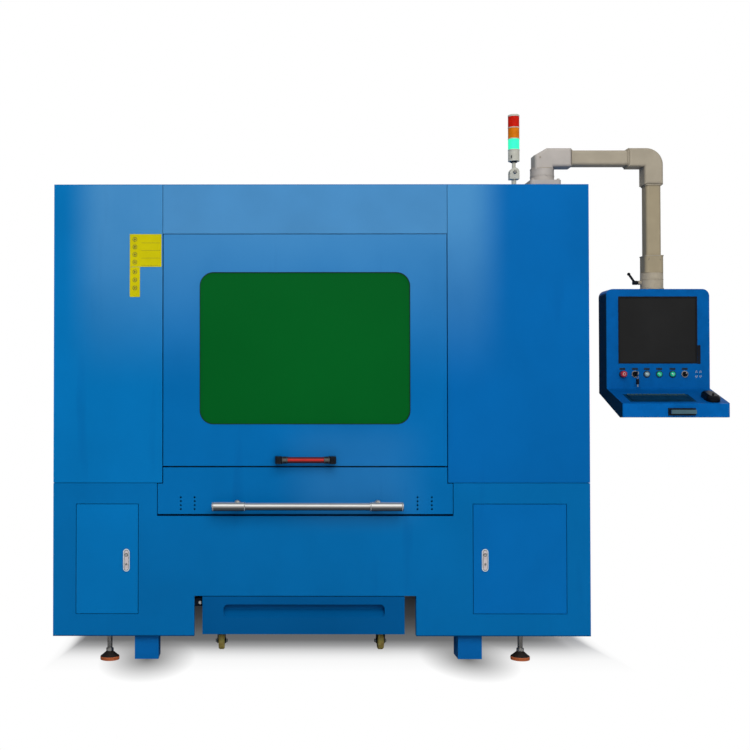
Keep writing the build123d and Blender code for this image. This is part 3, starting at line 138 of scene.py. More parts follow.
class Coat:
    """A material under construction, with the steps that finishes are made from."""

    EVEN = (1, 1, 1)

    def __init__(self, name):
        self.material = bpy.data.materials.new(name)
        self.material.use_nodes = True
        self.tree = self.material.node_tree
        self.shader = self.tree.nodes["Principled BSDF"]

    def add(self, kind, inputs=None, **options):
        """A new node in this material."""
        return add_node(self.tree, kind, inputs, **options)

    def place(self, stretch=EVEN):
        """Object coordinates, stretched for a grain that runs one way."""
        where = self.add("TexCoord").outputs["Object"]
        return self.add("Mapping", {"Vector": where, "Scale": stretch}).outputs["Vector"]

    def axis(self, name):
        """One of the object coordinates, in metres."""
        where = self.add("TexCoord").outputs["Object"]
        return self.add("SeparateXYZ", {"Vector": where}).outputs[name]

    def noise(self, scale, detail=3.0, stretch=EVEN):
        """A noise at a scale in copies per metre."""
        return self.add("TexNoise", {
            "Vector": self.place(stretch), "Scale": scale, "Detail": detail}).outputs["Fac"]

    def spread(self, value, low, high):
        """Map a noise value to a narrow range."""
        return self.add("MapRange", {
            "Value": value, "From Min": 0.3, "From Max": 0.7, "To Min": low, "To Max": high}).outputs["Result"]

    def cloud(self, scale, detail=3.0, stretch=EVEN):
        """A noise that fills the range from 0 to 1."""
        return self.spread(self.noise(scale, detail, stretch), 0.0, 1.0)

    def step(self, value, start, end):
        """0 before the start and 1 past the end, with a soft passage; the start may be the larger one."""
        falls = start > end
        return self.add("MapRange", {
            "Value": value, "From Min": min(start, end), "From Max": max(start, end),
            "To Min": float(falls), "To Max": float(not falls),
        }, interpolation_type="SMOOTHSTEP").outputs["Result"]

    def math(self, operation, *values):
        """One number from one or two, by a math operation."""
        return self.add("Math", dict(enumerate(values)), operation=operation).outputs["Value"]

    def plus(self, first, second):
        """The sum of two numbers."""
        return self.math("ADD", first, second)

    def times(self, first, second):
        """The product of two numbers."""
        return self.math("MULTIPLY", first, second)

    def away(self, name, centre):
        """How far a point lies from a place along an axis, without a sign."""
        return self.math("ABSOLUTE", self.plus(self.axis(name), -centre))

    def square_sum(self, first, second):
        """The sum of two squares."""
        return self.plus(self.times(first, first), self.times(second, second))

    def mix(self, factor, first, second):
        """The first colour where the factor is 0, and the second where it is 1."""
        first, second = (tone[:3] + (1,) if isinstance(tone, tuple) else tone for tone in (first, second))
        return self.add("Mix", {"Factor": factor, "A": first, "B": second}, data_type="RGBA").outputs["Result"]

    def blend(self, factor, first, second):
        """The first number where the factor is 0, and the second where it is 1."""
        return self.add("Mix", {"Factor": factor, "A": first, "B": second}, data_type="FLOAT").outputs["Result"]

    def drift(self, value, colour, change):
        """A colour that drifts a little lighter and darker with a noise value."""
        darker = tuple(max(0.0, c * (1 - change)) for c in colour)
        lighter = tuple(min(1.0, c * (1 + change) + 0.004 * change) for c in colour)
        return self.mix(value, darker, lighter)

    def paint_turned_shade(self, colour, depth):
        """Painted shade: a colour that darkens where the surface turns away from the eye, as on round stock."""
        facing = self.add("LayerWeight", {"Blend": 0.35}).outputs["Facing"]
        return self.mix(self.times(facing, depth), colour, (0.0, 0.0, 0.0))

    def close(self, inputs, height, depth, strength):
        """Set the surface, with fine relief from a height that is so many metres deep."""
        bump = self.add("Bump", {"Strength": strength, "Distance": depth, "Height": height})
        fill(self.tree, self.shader, {**inputs, "Normal": bump.outputs["Normal"]})
        return self

    def lay(self, amount, depth, tone):
        """Lay a tone over the base colour, where the amount is 1 by the depth."""
        socket = self.shader.inputs["Base Color"]
        base = socket.links[0].from_socket
        self.tree.links.new(self.mix(self.times(amount, depth), base, tone), socket)


def finish(name, colour, roughness=0.4, metallic=0.0, patch=2.5, change=0.06, grain=450.0,
           relief=0.0004, stretch=(1, 1, 1), coat=0.0, strength=0.35, specular=0.5, edge=0.0):
    """A finish with slow colour drift, uneven gloss and fine relief, with painted shade at its turned edges if
    asked.
    """
    made = Coat(name)
    fine = made.noise(grain, 2.0, stretch)
    shade = made.drift(made.cloud(patch), colour, change)
    if edge:
        shade = made.paint_turned_shade(shade, edge)
    return made.close({
        "Base Color": shade, "Roughness": made.spread(fine, roughness * 0.9, min(1.0, roughness * 1.12)),
        "Metallic": metallic, "Specular IOR Level": specular, "Coat Weight": coat, "Coat Roughness": 0.12,
    }, fine, relief, strength)


class PaintedSheen:
    """Where a painted sheen, a painted reflection of the bright room, lies on the cabinet's coat, placed from
    the cabinet's middle and the floor.
    """

    TONE = (0.064, 0.254, 0.520)
    HEIGHT = (1.12, 1.98)
    LEFT = (-1.09, -0.90)
    RIGHT = (0.80, 0.60)
    LOW_X = 0.14
    LOW_Z = 0.79
    LOW_REACH = (0.36, 0.10)
    LOW_RISE = (0.27, 0.10)
    LOW_SHARE = 0.22
    # Least share of the painted sheen, and how much more the slow noise adds
    UNEVEN = (0.82, 0.3)

    @classmethod
    def amount(cls, made, slow, sheen_share):
        """High up between the outer thirds of the front, and a little low down; uneven with a slow noise."""
        x = made.axis("X")
        height = made.step(made.axis("Z"), *cls.HEIGHT)
        left, right = (made.step(x, *(CABINET_X + end for end in ends)) for ends in (cls.LEFT, cls.RIGHT))
        high_patch = made.times(height, made.times(left, right))
        aside = made.step(made.away("X", CABINET_X + cls.LOW_X), *cls.LOW_REACH)
        low_patch = made.times(aside, made.step(made.away("Z", cls.LOW_Z), *cls.LOW_RISE))
        patch = made.math("MAXIMUM", high_patch, made.times(low_patch, cls.LOW_SHARE))
        least, more = cls.UNEVEN
        return made.times(made.times(patch, made.plus(made.times(slow, more), least)), sheen_share)


class Drips:
    """Faint marks of drips down the cabinet's coat."""

    TONE = (0.0, 0.060, 0.230)
    SCALE = 9.0
    STRETCH = (1.0, 1.0, 0.12)
    EDGE = (0.60, 0.74)
    DEPTH = 0.16

    @classmethod
    def amount(cls, made):
        """Where the drips show, and how much."""
        return made.times(made.step(made.noise(cls.SCALE, 4.0, cls.STRETCH), *cls.EDGE), cls.DEPTH)


def cabinet_finish(name, colour, roughness, sheen_share=1.0):
    """Powder coat with a painted sheen high on the front and a little low down, a slow cloudiness, faint drip
    marks and orange peel.
    """
    made = Coat(name)
    fine = made.noise(420.0, 2.0)
    slow = made.cloud(3.0, 6.0, (1.0, 1.0, 0.7))
    base = made.mix(PaintedSheen.amount(made, slow, sheen_share), made.drift(slow, colour, 0.07), PaintedSheen.TONE)
    return made.close({
        "Base Color": made.mix(Drips.amount(made), base, Drips.TONE),
        "Roughness": made.spread(fine, roughness * 0.9, roughness * 1.1), "Specular IOR Level": 0.05,
    }, fine, 0.0004, 0.3)


def lock_plate_finish(name, centre, half_straight, radius, inside, outside):
    """Bright metal in a long oval round a centre, and the door's coat outside it."""
    made = Coat(name)
    soft = 0.0004
    along = made.math("MAXIMUM", made.math("SUBTRACT", made.away("Z", centre.z), half_straight), 0.0)
    across = made.plus(made.axis("X"), -centre.x)
    rim = made.step(made.math("SQRT", made.square_sum(along, across)), radius - soft, radius + soft)
    slow = made.cloud(60.0)
    return made.close({
        "Base Color": made.mix(rim, made.drift(slow, inside, 0.08), made.drift(slow, outside, 0.05)),
        "Metallic": made.blend(rim, 0.45, 0.0), "Specular IOR Level": made.blend(rim, 0.5, 0.08),
        "Roughness": 0.32,
    }, made.noise(600.0, 2.0), 0.0001, 0.3)


def banded_finish(name, axis, bands, grain=400.0, specular=0.5, edge=0.0):
    """One piece with bands of different finish along an axis: (upper end, colour, roughness, metallic)."""
    made = Coat(name)
    along = made.axis(axis)
    slow = made.cloud(30.0)
    border, first, roughness, metallic = bands[0]
    colour = made.drift(slow, first, 0.08)
    for next_border, band_colour, band_roughness, band_metallic in bands[1:]:
        past = made.math("GREATER_THAN", along, border)
        colour = made.mix(past, colour, made.drift(slow, band_colour, 0.08))
        roughness = made.blend(past, roughness, band_roughness)
        metallic = made.blend(past, metallic, band_metallic)
        border = next_border
    # Painted shade at the turned edges, if asked.
    if edge:
        colour = made.paint_turned_shade(colour, edge)
    return made.close({
        "Base Color": colour, "Roughness": roughness, "Metallic": metallic, "Specular IOR Level": specular,
    }, made.noise(grain, 2.0), 0.0003, 0.3)


def paint_lip_shade(made, bottom, height=0.007):
    """Painted shade along the skirt's lowest edge: a thin dark line, as where an edge rolls under."""
    made.lay(made.step(made.axis("Z"), bottom + height, bottom), 0.85, (0.0, 0.010, 0.050))


def darken_slope(made):
    """The console's keyboard shelf lies in the housing's shade, so its top is a darker blue."""
    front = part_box("console_housing")[0].y
    controls_height = 0.110
    face_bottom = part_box("console_screen")[0].z - controls_height
    behind = made.step(made.axis("Y"), front + 0.003, front + 0.008)
    below = made.step(made.axis("Z"), face_bottom + 0.004, face_bottom - 0.006)
    made.lay(made.times(behind, below), 0.42, (0.0, 0.010, 0.060))


def shade_round(made, stops):
    """Paint shade and reflection on a round bar from its underside (0) to its top (1): on a polished bar,
    painted reflections of floor and panel.
    """
    normal = made.add("NewGeometry").outputs["Normal"]
    upward = made.add("SeparateXYZ", {"Vector": normal}).outputs["Z"]
    height = made.plus(made.times(upward, 0.5), 0.5)
    for start, end, depth, tone in stops:
        made.lay(made.step(height, start, end), depth, tone)


def glass_finish(name, tint):
    """Deep green filter glass, nearly opaque, with a hard polish and a fine grain."""
    made = Coat(name)
    return made.close({
        "Base Color": made.drift(made.cloud(1.6, 2.0), tint, 0.05), "Roughness": 0.22, "Alpha": 0.90,
        "Specular IOR Level": 0.07}, made.noise(240.0, 1.0), 0.0001, 0.10)


def lens_finish(name, colour, glow):
    """A tinted lens with fine upright ribs and a glow of its own: light from the lit lamp and buttons, and a
    faint painted glow on the unlit lenses.
    """
    made = Coat(name)
    ribs_per_metre = 95.0
    ribs = made.add("TexWave", {"Vector": made.place(), "Scale": ribs_per_metre}).outputs["Fac"]
    return made.close({
        "Base Color": made.drift(made.cloud(60.0), colour, 0.12), "Roughness": 0.22,
        "Specular IOR Level": 0.06, "Emission Color": colour + (1,), "Emission Strength": glow,
    }, ribs, 0.0006, 0.4)


# Finishes by name, filled by the first operator
FINISHES = {}

DARK_METAL = (0.14, 0.145, 0.14)
PAD_ORANGE = (0.46, 0.120, 0.040)
# Stops of shade_round: (start, end, depth, tone); on the bar they are painted reflections and shade
BAR_SHADES = (
    (0.66, 0.52, 0.85, (0.14, 0.13, 0.12)),
    (0.48, 0.34, 0.88, (0.025, 0.036, 0.042)),
    (0.20, 0.08, 0.90, (0.001, 0.012, 0.028)),
    (0.74, 0.84, 0.85, (0.10, 0.12, 0.14)),
    (0.88, 0.95, 0.80, (0.30, 0.38, 0.52)))
# Painted shade on the round red grip, darker along its underside and its top.
GRIP_SHADES = (
    (0.50, 0.24, 0.90, (0.012, 0.006, 0.010)),
    (0.64, 0.84, 0.85, (0.020, 0.008, 0.014)))


def make_finishes(settings):
    """Make every finish that the machine uses."""
    rough = settings.coat_roughness
    made = {
        "blue": finish("cabinet_powder_coat", tuple(settings.blue), rough, change=0.07, specular=0.06),
        "left_column": cabinet_finish("left_column_coat", (0.0, 0.160, 0.447), rough),
        "right_column": cabinet_finish("right_column_coat", (0.0, 0.124, 0.400), rough),
        # The header's pale blue is the painted sheen's tone, laid over the whole panel.
        "header": finish("header_sheen_coat", (0.062, 0.238, 0.490), rough, patch=4.0, specular=0.05),
        "door": cabinet_finish("door_coat", (0.0, 0.140, 0.415), rough, sheen_share=0.80),
        "table": cabinet_finish("table_panel_coat", (0.0, 0.138, 0.400), rough),
        "base": cabinet_finish("base_coat", (0.0, 0.139, 0.395), rough),
        "left_door": cabinet_finish("left_service_coat", (0.0, 0.162, 0.455), rough),
        "right_door": cabinet_finish("right_service_coat", (0.0, 0.137, 0.430), rough),
        "blue_low": finish("drawer_coat", (0.0, 0.092, 0.280), rough, change=0.07, specular=0.04),
        "frame": finish("frame_paint", (0.0, 0.118, 0.385), 0.45, patch=8.0, change=0.10, specular=0.08),
        "arm": finish("arm_coat", tuple(settings.arm), 0.42, patch=14.0, specular=0.2, edge=0.45),
        "arm_light": finish("arm_column_coat", (0.44, 0.405, 0.375), 0.42, patch=14.0, specular=0.2, edge=0.45),
        "arm_warm": finish("arm_drop_coat", (0.34, 0.285, 0.190), 0.42, patch=14.0, specular=0.2, edge=0.45),
        "stainless": finish("brushed_stainless", (0.98, 0.965, 0.92), 0.14, 0.35, 12.0, 0.05, 900.0, 0.00003,
                            (0.03, 1.0, 1.0), strength=0.15),
        "machined": finish("machined_aluminium", (0.62, 0.63, 0.64), 0.34, 1.0, 10.0, 0.06, 600.0,
                           0.0001, (1.0, 1.0, 0.06)),
        "clear": lens_finish("clear_button_lens", (0.20, 0.30, 0.34), 0.05),
        "lit": lens_finish("lit_button_lens", (0.01, 0.36, 0.21), 0.26),
        "glass": glass_finish("filter_glass", tuple(settings.glass)),
        "lens_red": lens_finish("red_lamp_lens", (0.50, 0.010, 0.003), 0.06),
        "lens_amber": lens_finish("amber_lamp_lens", (0.56, 0.150, 0.004), 0.06),
        "lens_green": lens_finish("green_lamp_lens", (0.03, 0.74, 0.38), 0.70),
    }
    # Name, colour, roughness, metallic, patch, change, grain and relief, then what else differs
    for key, values, rest in (
            ("steel", ("turned_steel", (0.60, 0.60, 0.58), 0.26, 1.0, 40.0, 0.08, 900.0, 0.0001), {}),
            ("zinc", ("zinc_plate", (0.50, 0.49, 0.46), 0.38, 1.0, 60.0, 0.14, 700.0, 0.0001), {}),
            ("mill", ("mill_steel", (0.20, 0.185, 0.17), 0.55, 0.85, 9.0, 0.22, 260.0, 0.0003), {}),
            ("copper", ("turned_copper", (0.78, 0.42, 0.25), 0.28, 1.0, 50.0, 0.1, 900.0, 0.0001), {}),
            ("lock", ("satin_lock_metal", (0.62, 0.56, 0.57), 0.34, 0.2, 50.0, 0.08, 500.0, 0.0001), {}),
            ("black", ("black_moulding", (0.005, 0.006, 0.009), 0.42, 0.0, 30.0, 0.2, 700.0, 0.0002),
             {"specular": 0.2}),
            ("dark", ("dark_recess", (0.006, 0.010, 0.018), 0.6, 0.0, 30.0, 0.2, 700.0, 0.0002),
             {"specular": 0.1}),
            ("mouse", ("mouse_shell", (0.002, 0.003, 0.006), 0.26, 0.0, 30.0, 0.2, 700.0, 0.0002),
             {"specular": 0.14, "edge": 0.6}),
            ("rubber", ("black_rubber", (0.010, 0.010, 0.010), 0.7, 0.0, 40.0, 0.2, 900.0, 0.0003),
             {"specular": 0.2}),
            ("red", ("red_moulding", (0.33, 0.010, 0.022), 0.28, 0.0, 60.0, 0.08, 500.0, 0.0001),
             {"coat": 0.1}),
            ("beige", ("lamp_base_moulding", (0.47, 0.465, 0.400), 0.45, 0.0, 50.0, 0.06, 500.0, 0.0002), {}),
            ("label", ("plain_label", tuple(settings.label), 0.5, 0.0, 12.0, 0.07, 300.0, 0.0001),
             {"specular": 0.05}),
            ("label_mark", ("label_mark", (0.05, 0.045, 0.02), 0.6, 0.0, 80.0, 0.1, 300.0, 0.0001), {}),
            ("ochre", ("ochre_tread", (0.98, 0.66, 0.18), 0.55, 0.0, 60.0, 0.3, 500.0, 0.0003),
             {"specular": 0.2}),
            ("screen", ("dark_screen", (0.0170, 0.0170, 0.0170), 0.35, 0.0, 6.0, 0.10, 900.0, 0.00005),
             {"specular": 0.06, "strength": 0.1}),
            ("keycap", ("keycap_plastic", (0.075, 0.120, 0.075), 0.5, 0.0, 300.0, 0.9, 700.0, 0.0002),
             {"specular": 0.15}),
            ("board", ("keyboard_body", (0.001, 0.022, 0.055), 0.42, 0.0, 30.0, 0.2, 600.0, 0.0002),
             {"specular": 0.06}),
            ("plate", ("legend_plate", (0.012, 0.020, 0.032), 0.4, 0.0, 60.0, 0.15, 600.0, 0.0001),
             {"specular": 0.2}),
            ("pale", ("pale_trim", (0.62, 0.66, 0.66), 0.35, 0.2, 60.0, 0.1, 600.0, 0.0001), {}),
            ("spark", ("button_glint", (0.70, 0.82, 0.78), 0.3, 0.0, 60.0, 0.1, 600.0, 0.0001), {}),
            ("thread", ("oiled_thread", (0.045, 0.045, 0.050), 0.30, 0.6, 60.0, 0.2, 500.0, 0.0002),
             {"edge": 0.6}),
            ("pad", ("orange_pad_rubber", PAD_ORANGE, 0.6, 0.0, 40.0, 0.12, 500.0, 0.0003), {"specular": 0.1}),
            ("ferrule", ("dark_ferrule", (0.11, 0.115, 0.12), 0.36, 0.7, 60.0, 0.2, 500.0, 0.0002),
             {"edge": 0.8})):
        made[key] = finish(*values, **rest)
    paint_lip_shade(made["base"], BASE_LO.z)
    paint_lip_shade(made["blue_low"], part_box("scrap_drawer")[0].z)
    shade_round(made["stainless"], BAR_SHADES)
    FINISHES.update({key: coat.material for key, coat in made.items()})


# Mesh tools for the small pieces


def new_piece(name, mesh, finish_name, body):
    """Turn a mesh under construction into a piece that rides on a body."""
    data = bpy.data.meshes.new(name)
    bmesh.ops.recalc_face_normals(mesh, faces=mesh.faces)
    mesh.to_mesh(data)
    mesh.free()
    piece = bpy.data.objects.new(name, data)
    bpy.context.scene.collection.objects.link(piece)
    data.materials.append(FINISHES[finish_name])
    for face in data.polygons:
        face.use_smooth = True
    data.set_sharp_from_angle(angle=SHARP)
    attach(piece, body)
    return piece


AXES = {"x": Vector((1, 0, 0)), "y": Vector((0, 1, 0)), "z": Vector((0, 0, 1))}


def bridge(mesh, rows, closed=False):
    """Faces between rows of points that run round, and from the last row to the first if closed."""
    for low, high in zip(rows, rows[1:] + (rows[:1] if closed else [])):
        count = len(low)
        for step in range(count):
            after = (step + 1) % count
            mesh.faces.new((low[step], low[after], high[after], high[step]))


def round_the(axis, radius, angle):
    """A point on a circle round an axis."""
    first = AXES["z"] if axis != "z" else AXES["x"]
    second = AXES[axis].cross(first)
    return first * (math.cos(angle) * radius) + second * (math.sin(angle) * radius)


def turned(mesh, centre, axis, profile, segments=28):
    """A turned form from (radius, distance along the axis) points."""
    part = 2 * math.pi / segments
    rings = [[mesh.verts.new(centre + AXES[axis] * distance + round_the(axis, radius, part * step))
              for step in range(segments)] for radius, distance in profile]
    bridge(mesh, rings)
    return rings


def turned_solid(mesh, centre, axis, profile, segments=28):
    """A turned form with both ends closed."""
    rings = turned(mesh, centre, axis, profile, segments)
    mesh.faces.new(rings[0])
    mesh.faces.new(rings[-1])


def turned_ring(mesh, centre, axis, inner, outer, low, high, edge=0.0006, segments=32):
    """A ring with eased edges, between two radii and two distances along the axis."""
    profile = [(inner, low), (outer - edge, low), (outer, low + edge), (outer, high - edge),
               (outer - edge, high), (inner, high), (inner, low)]
    turned(mesh, centre, axis, profile, segments)
    bmesh.ops.remove_doubles(mesh, verts=mesh.verts, dist=1e-7)


def eased_block(mesh, low, high, edge=0.0008):
    """A block with chamfered edges between two corners."""
    made = bmesh.ops.create_cube(mesh, size=1.0)["verts"]
    for vert in made:
        vert.co = Vector([low[i] + (high[i] - low[i]) * (vert.co[i] + 0.5) for i in range(3)])
    edges = {edge_line for vert in made for edge_line in vert.link_edges}
    bmesh.ops.bevel(mesh, geom=list(edges), offset=edge, segments=2, affect="EDGES", profile=0.6,
                    clamp_overlap=True)


def screw_head(mesh, centre, axis, radius, sign=-1.0):
    """A domed screw head with a round socket."""
    height = radius * 0.62 * sign
    profile = [(radius, 0.0), (radius, height * 0.35), (radius * 0.86, height * 0.8), (radius * 0.6, height),
               (radius * 0.42, height)]
    rim = turned(mesh, centre, axis, profile, 18)[-1]
    floor = [mesh.verts.new(vert.co - AXES[axis] * height * 0.55) for vert in rim]
    bridge(mesh, [rim, floor])
    mesh.faces.new(floor)


def hex_head(mesh, centre, axis, radius, height):
    """A hexagon bolt head with a washer face."""
    washer = [(radius * 1.15, 0.0), (radius * 1.15, height * 0.18), (radius, height * 0.2)]
    turned_solid(mesh, centre, axis, washer, 24)
    corners = [round_the(axis, radius, math.pi * step / 3) for step in range(6)]
    low, high = ([mesh.verts.new(centre + AXES[axis] * height * level + corner * taper) for corner in corners]
                 for level, taper in ((0.18, 1.0), (1.0, 0.96)))
    bridge(mesh, [low, high])
    mesh.faces.new(high)


def round_outline(x0, x1, z0, z1, radius, steps=10):
    """Points of a rectangle with rounded corners, as (x, z)."""
    corners = ((x1 - radius, z1 - radius), (x0 + radius, z1 - radius),
               (x0 + radius, z0 + radius), (x1 - radius, z0 + radius))
    points = []
    for quarter, (cx, cz) in enumerate(corners):
        for step in range(steps + 1):
            angle = math.pi / 2 * (quarter + step / steps)
            points.append((cx + math.cos(angle) * radius, cz + math.sin(angle) * radius))
    return points


def front_plate(mesh, points, front, back):
    """A flat plate with a front view outline, its front edge eased."""
    middle = Vector((sum(x for x, z in points) / len(points), 0, sum(z for x, z in points) / len(points)))
    ease = min(0.0004, abs(back - front) / 3)
    loops = []
    for y, shrink in ((back, 0.0), (front + ease, 0.0), (front, ease)):
        inward = [Vector((middle.x - x, 0, middle.z - z)).normalized() * shrink for x, z in points]
        loops.append([mesh.verts.new(Vector((x, y, z)) + shift) for (x, z), shift in zip(points, inward)])
    bridge(mesh, loops)
    mesh.faces.new(loops[0])
    mesh.faces.new(loops[-1])


def front_frame(mesh, outer, inner, front, back):
    """A flat frame between two outlines of as many points."""
    bridge(mesh, [[mesh.verts.new((x, y, z)) for x, z in points]
                  for points, y in ((outer, back), (outer, front), (inner, front), (inner, back))], True)


def grown_outline(low, high, margin, radius, steps=10):
    """The rounded outline of a box's front, grown by a margin or, below zero, shrunk."""
    return round_outline(low.x - margin, high.x + margin, low.z - margin, high.z + margin, radius, steps)


def middle_of(node):
    """The middle of a node's box."""
    low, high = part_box(node)
    return (low + high) / 2


# Operators, one for each piece or group of pieces


class LASER_OT_finishes(bpy.types.Operator):
    """Make the finishes and put them on the machine's solids"""

    bl_idname = "laser.finishes"
    bl_label = "Finish the Solids"

    SOLIDS = {
        "blue": ("left_side_panel", "right_side_panel", "rear_panel", "roof_panel"),
        "left_column": ("left_column_panel",),
        "right_column": ("right_column_panel",),
        "header": ("header_panel",),
        "door": ("front_door",),
        "table": ("table_front_panel",),
        "base": ("base_front_panel",),
        "left_door": ("left_service_door",),
        "right_door": ("right_service_door",),
        "blue_low": ("scrap_drawer",),
        "frame": ("base_frame", "work_table_frame"),
        "glass": ("door_window",),
        "black": ("door_handle_brackets", "clamp_lever", "mode_selector", "key_switch"),
        "mouse": ("mouse",),
        "stainless": ("table_handle_bar",),
        "mill": ("table_slats",),
        "lock": ("left_lock_lever", "right_lock_lever"),
        "machined": ("gantry_beam", "head_carriage", "cutting_head"),
        "copper": ("nozzle",),
        "arm": ("arm_cross_tube", "arm_upper_elbow"),
        "arm_light": ("arm_base", "arm_lower_elbow"),
        "arm_warm": ("arm_drop_tube",),
        "screen": ("console_screen",),
        "board": ("keyboard",),
        "red": ("stop_button",),
        "clear": ("clear_button",),
        "lit": ("start_button", "feed_button"),
        "beige": ("tower_bracket", "tower_stem", "tower_cap"),
        "lens_green": ("tower_lens_green",),
        "lens_amber": ("tower_lens_amber",),
        "lens_red": ("tower_lens_red",),
    }
    PAD_TOP = 0.0140
    CONE_TOP = 0.0362
    GRIP_REACH = 0.0752
    CONSOLE_SEAM = 1.140
    COLLAR_HEIGHT = 0.0705
    PULL_LIP = 0.008

    lock_radius: length_setting("Lock Radius", "Half the width of a lock's bright metal", 0.0136)
    lock_half: length_setting("Lock Half", "Half the straight length of a lock's bright metal", 0.0335)

    def execute(self, context):
        settings = context.scene.laser_finish
        rough = settings.coat_roughness
        make_finishes(settings)
        for name, nodes in self.SOLIDS.items():
            for node in nodes:
                self.dress(node, FINISHES[name])
        for place in CASTER_PLACES:
            self.dress(f"{place}_caster_fork", FINISHES["black"])
            self.dress(f"{place}_caster_wheel", FINISHES["ochre"])
        self.dress("levelling_feet", banded_finish("foot_bands", "Z", [
            (self.PAD_TOP, PAD_ORANGE, 0.6, 0.0),
            (self.CONE_TOP, (0.02, 0.016, 0.013), 0.5, 0.0),
            (FAR, (0.52, 0.50, 0.46), 0.36, 1.0)]).material)
        grip_x = middle_of("door_handle_grip").x
        grip = banded_finish("grip_bands", "X", [
            (grip_x - self.GRIP_REACH, DARK_METAL, 0.36, 0.7),
            (grip_x + self.GRIP_REACH, tuple(settings.grip), 0.34, 0.0),
            (FAR, DARK_METAL, 0.36, 0.7)], specular=0.2, edge=0.5)
        shade_round(grip, GRIP_SHADES)
        self.dress("door_handle_grip", grip.material)
        for side in ("left", "right"):
            self.dress(f"{side}_lock_dish", lock_plate_finish(
                f"{side}_lock_plate", middle_of(f"{side}_lock_dish"), self.lock_half, self.lock_radius,
                (0.74, 0.80, 0.82), (0.0, 0.140, 0.42)).material)
        low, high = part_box("console_housing")
        console = banded_finish("console_bands", "Z", [
            (self.CONSOLE_SEAM, (0.0, 0.112, 0.400), rough, 0.0),
            (high.z - self.COLLAR_HEIGHT, (0.0, 0.098, 0.345), rough, 0.0),
            (FAR, tuple(settings.arm), 0.42, 0.0)], 450.0, 0.05)
        darken_slope(console)
        # Painted shade on the console's left side, which faces away from the light.
        left_side = console.step(console.axis("X"), low.x + 0.0040, low.x + 0.0005)
        console.lay(left_side, 0.92, (0.0, 0.012, 0.024))
        self.dress("console_housing", console.material)
        self.dress("console_pull", banded_finish("pull_bands", "Y", [
            (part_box("console_pull")[0].y + self.PULL_LIP, (0.10, 0.19, 0.23), 0.35, 0.6),
            (FAR, (0.006, 0.010, 0.016), 0.5, 0.0)], 500.0, 0.2).material)
        return {"FINISHED"}

    @staticmethod
    def dress(node, material):
        """Put one finish on a node."""
        data = bpy.data.objects[node].data
        data.materials.clear()
        data.materials.append(material)


class LASER_OT_window_trim(bpy.types.Operator):
    """Rubber gasket round the window and the retaining frame behind it"""

    bl_idname = "laser.window_trim"
    bl_label = "Window Trim"

    SCREW_RADIUS = 0.004
    SCREWS = 12
    FRAME_WIDTH = 0.032
    FRAME_THICKNESS = 0.003

    lap: length_setting("Lap", "Hidden edge of the pane", 0.018)
    corner: length_setting("Corner", "Corner radius of the opening", 0.058)

    def execute(self, context):
        low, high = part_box("door_window")
        width = context.scene.laser_fitting.gasket
        mesh = bmesh.new()
        front_frame(mesh, grown_outline(low, high, 0.0005 - self.lap, self.corner),
                    grown_outline(low, high, -width - self.lap, self.corner - width),
                    FRONT_Y - 0.0008, low.y - 0.0001)
        new_piece("window_gasket", mesh, "rubber", "lift_door")
        mesh = bmesh.new()
        back = high.y + 0.0002
        front_frame(mesh, grown_outline(low, high, self.FRAME_WIDTH - self.lap, self.corner + 0.03),
                    grown_outline(low, high, 0.006 - self.lap, self.corner), back, back + self.FRAME_THICKNESS)
        x0 = low.x + self.lap
        pitch = (high.x - self.lap - x0) / self.SCREWS
        row = self.lap - 0.025
        for step in range(self.SCREWS):
            for z in (low.z + row, high.z - row):
                spot = Vector((x0 + pitch * (step + 0.5), back + self.FRAME_THICKNESS, z))
                screw_head(mesh, spot, "y", self.SCREW_RADIUS, 1.0)
        new_piece("window_retainer", mesh, "zinc", "lift_door")
        return {"FINISHED"}


class LASER_OT_door_fittings(bpy.types.Operator):
    """Ferrule rings and screws of the door handle, and the seals beside the door and in its bay"""

    bl_idname = "laser.door_fittings"
    bl_label = "Door Fittings"

    FERRULE = (0.0145, 0.0158, -0.0012, 0.0012, 0.0005)
    SCREW_RADIUS = 0.0045
    RING_PLACES = (0.0785, 0.0955)
    SEAL_DROP = 0.070
    # Seals of the bay: two places across from the door's side, and two behind the cabinet's front
    BAY_SEALS = ((0.0016, 0.0062, 0.0360, 0.0375), (-0.0040, 0.0030, 0.0405, 0.0420))

    def execute(self, context):
        grip = middle_of("door_handle_grip")
        mesh = bmesh.new()
        for side in (-1, 1):
            for reach in self.RING_PLACES:
                centre = Vector((grip.x + side * reach, grip.y, grip.z))
                turned_ring(mesh, centre, "x", *self.FERRULE)
        new_piece("grip_ferrule_rings", mesh, "ferrule", "lift_door")
        mesh = bmesh.new()
        low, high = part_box("door_handle_brackets")
        for x in (low.x + 0.011, high.x - 0.011):
            screw_head(mesh, Vector((x, low.y + 0.0002, grip.z)), "y", self.SCREW_RADIUS)
        new_piece("handle_screws", mesh, "black", "lift_door")
        low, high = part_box("front_door")
        seal_top = high.z - self.SEAL_DROP
        mesh = bmesh.new()
        for x in (low.x - 0.0004, high.x + 0.0004):
            eased_block(mesh, (x - 0.0008, FRONT_Y + 0.020, low.z + 0.01),
                        (x + 0.0008, FRONT_Y + 0.034, seal_top), 0.0003)
        new_piece("door_edge_seals", mesh, "rubber", "lift_door")
        mesh = bmesh.new()
        for x, side in ((low.x, -1), (high.x, 1)):
            for near, far, front, back in self.BAY_SEALS:
                x0, x1 = sorted((x + side * near, x + side * far))
                eased_block(mesh, (x0, FRONT_Y + front, low.z), (x1, FRONT_Y + back, seal_top), 0.0004)
        new_piece("bay_light_seals", mesh, "rubber", "cabinet")
        return {"FINISHED"}


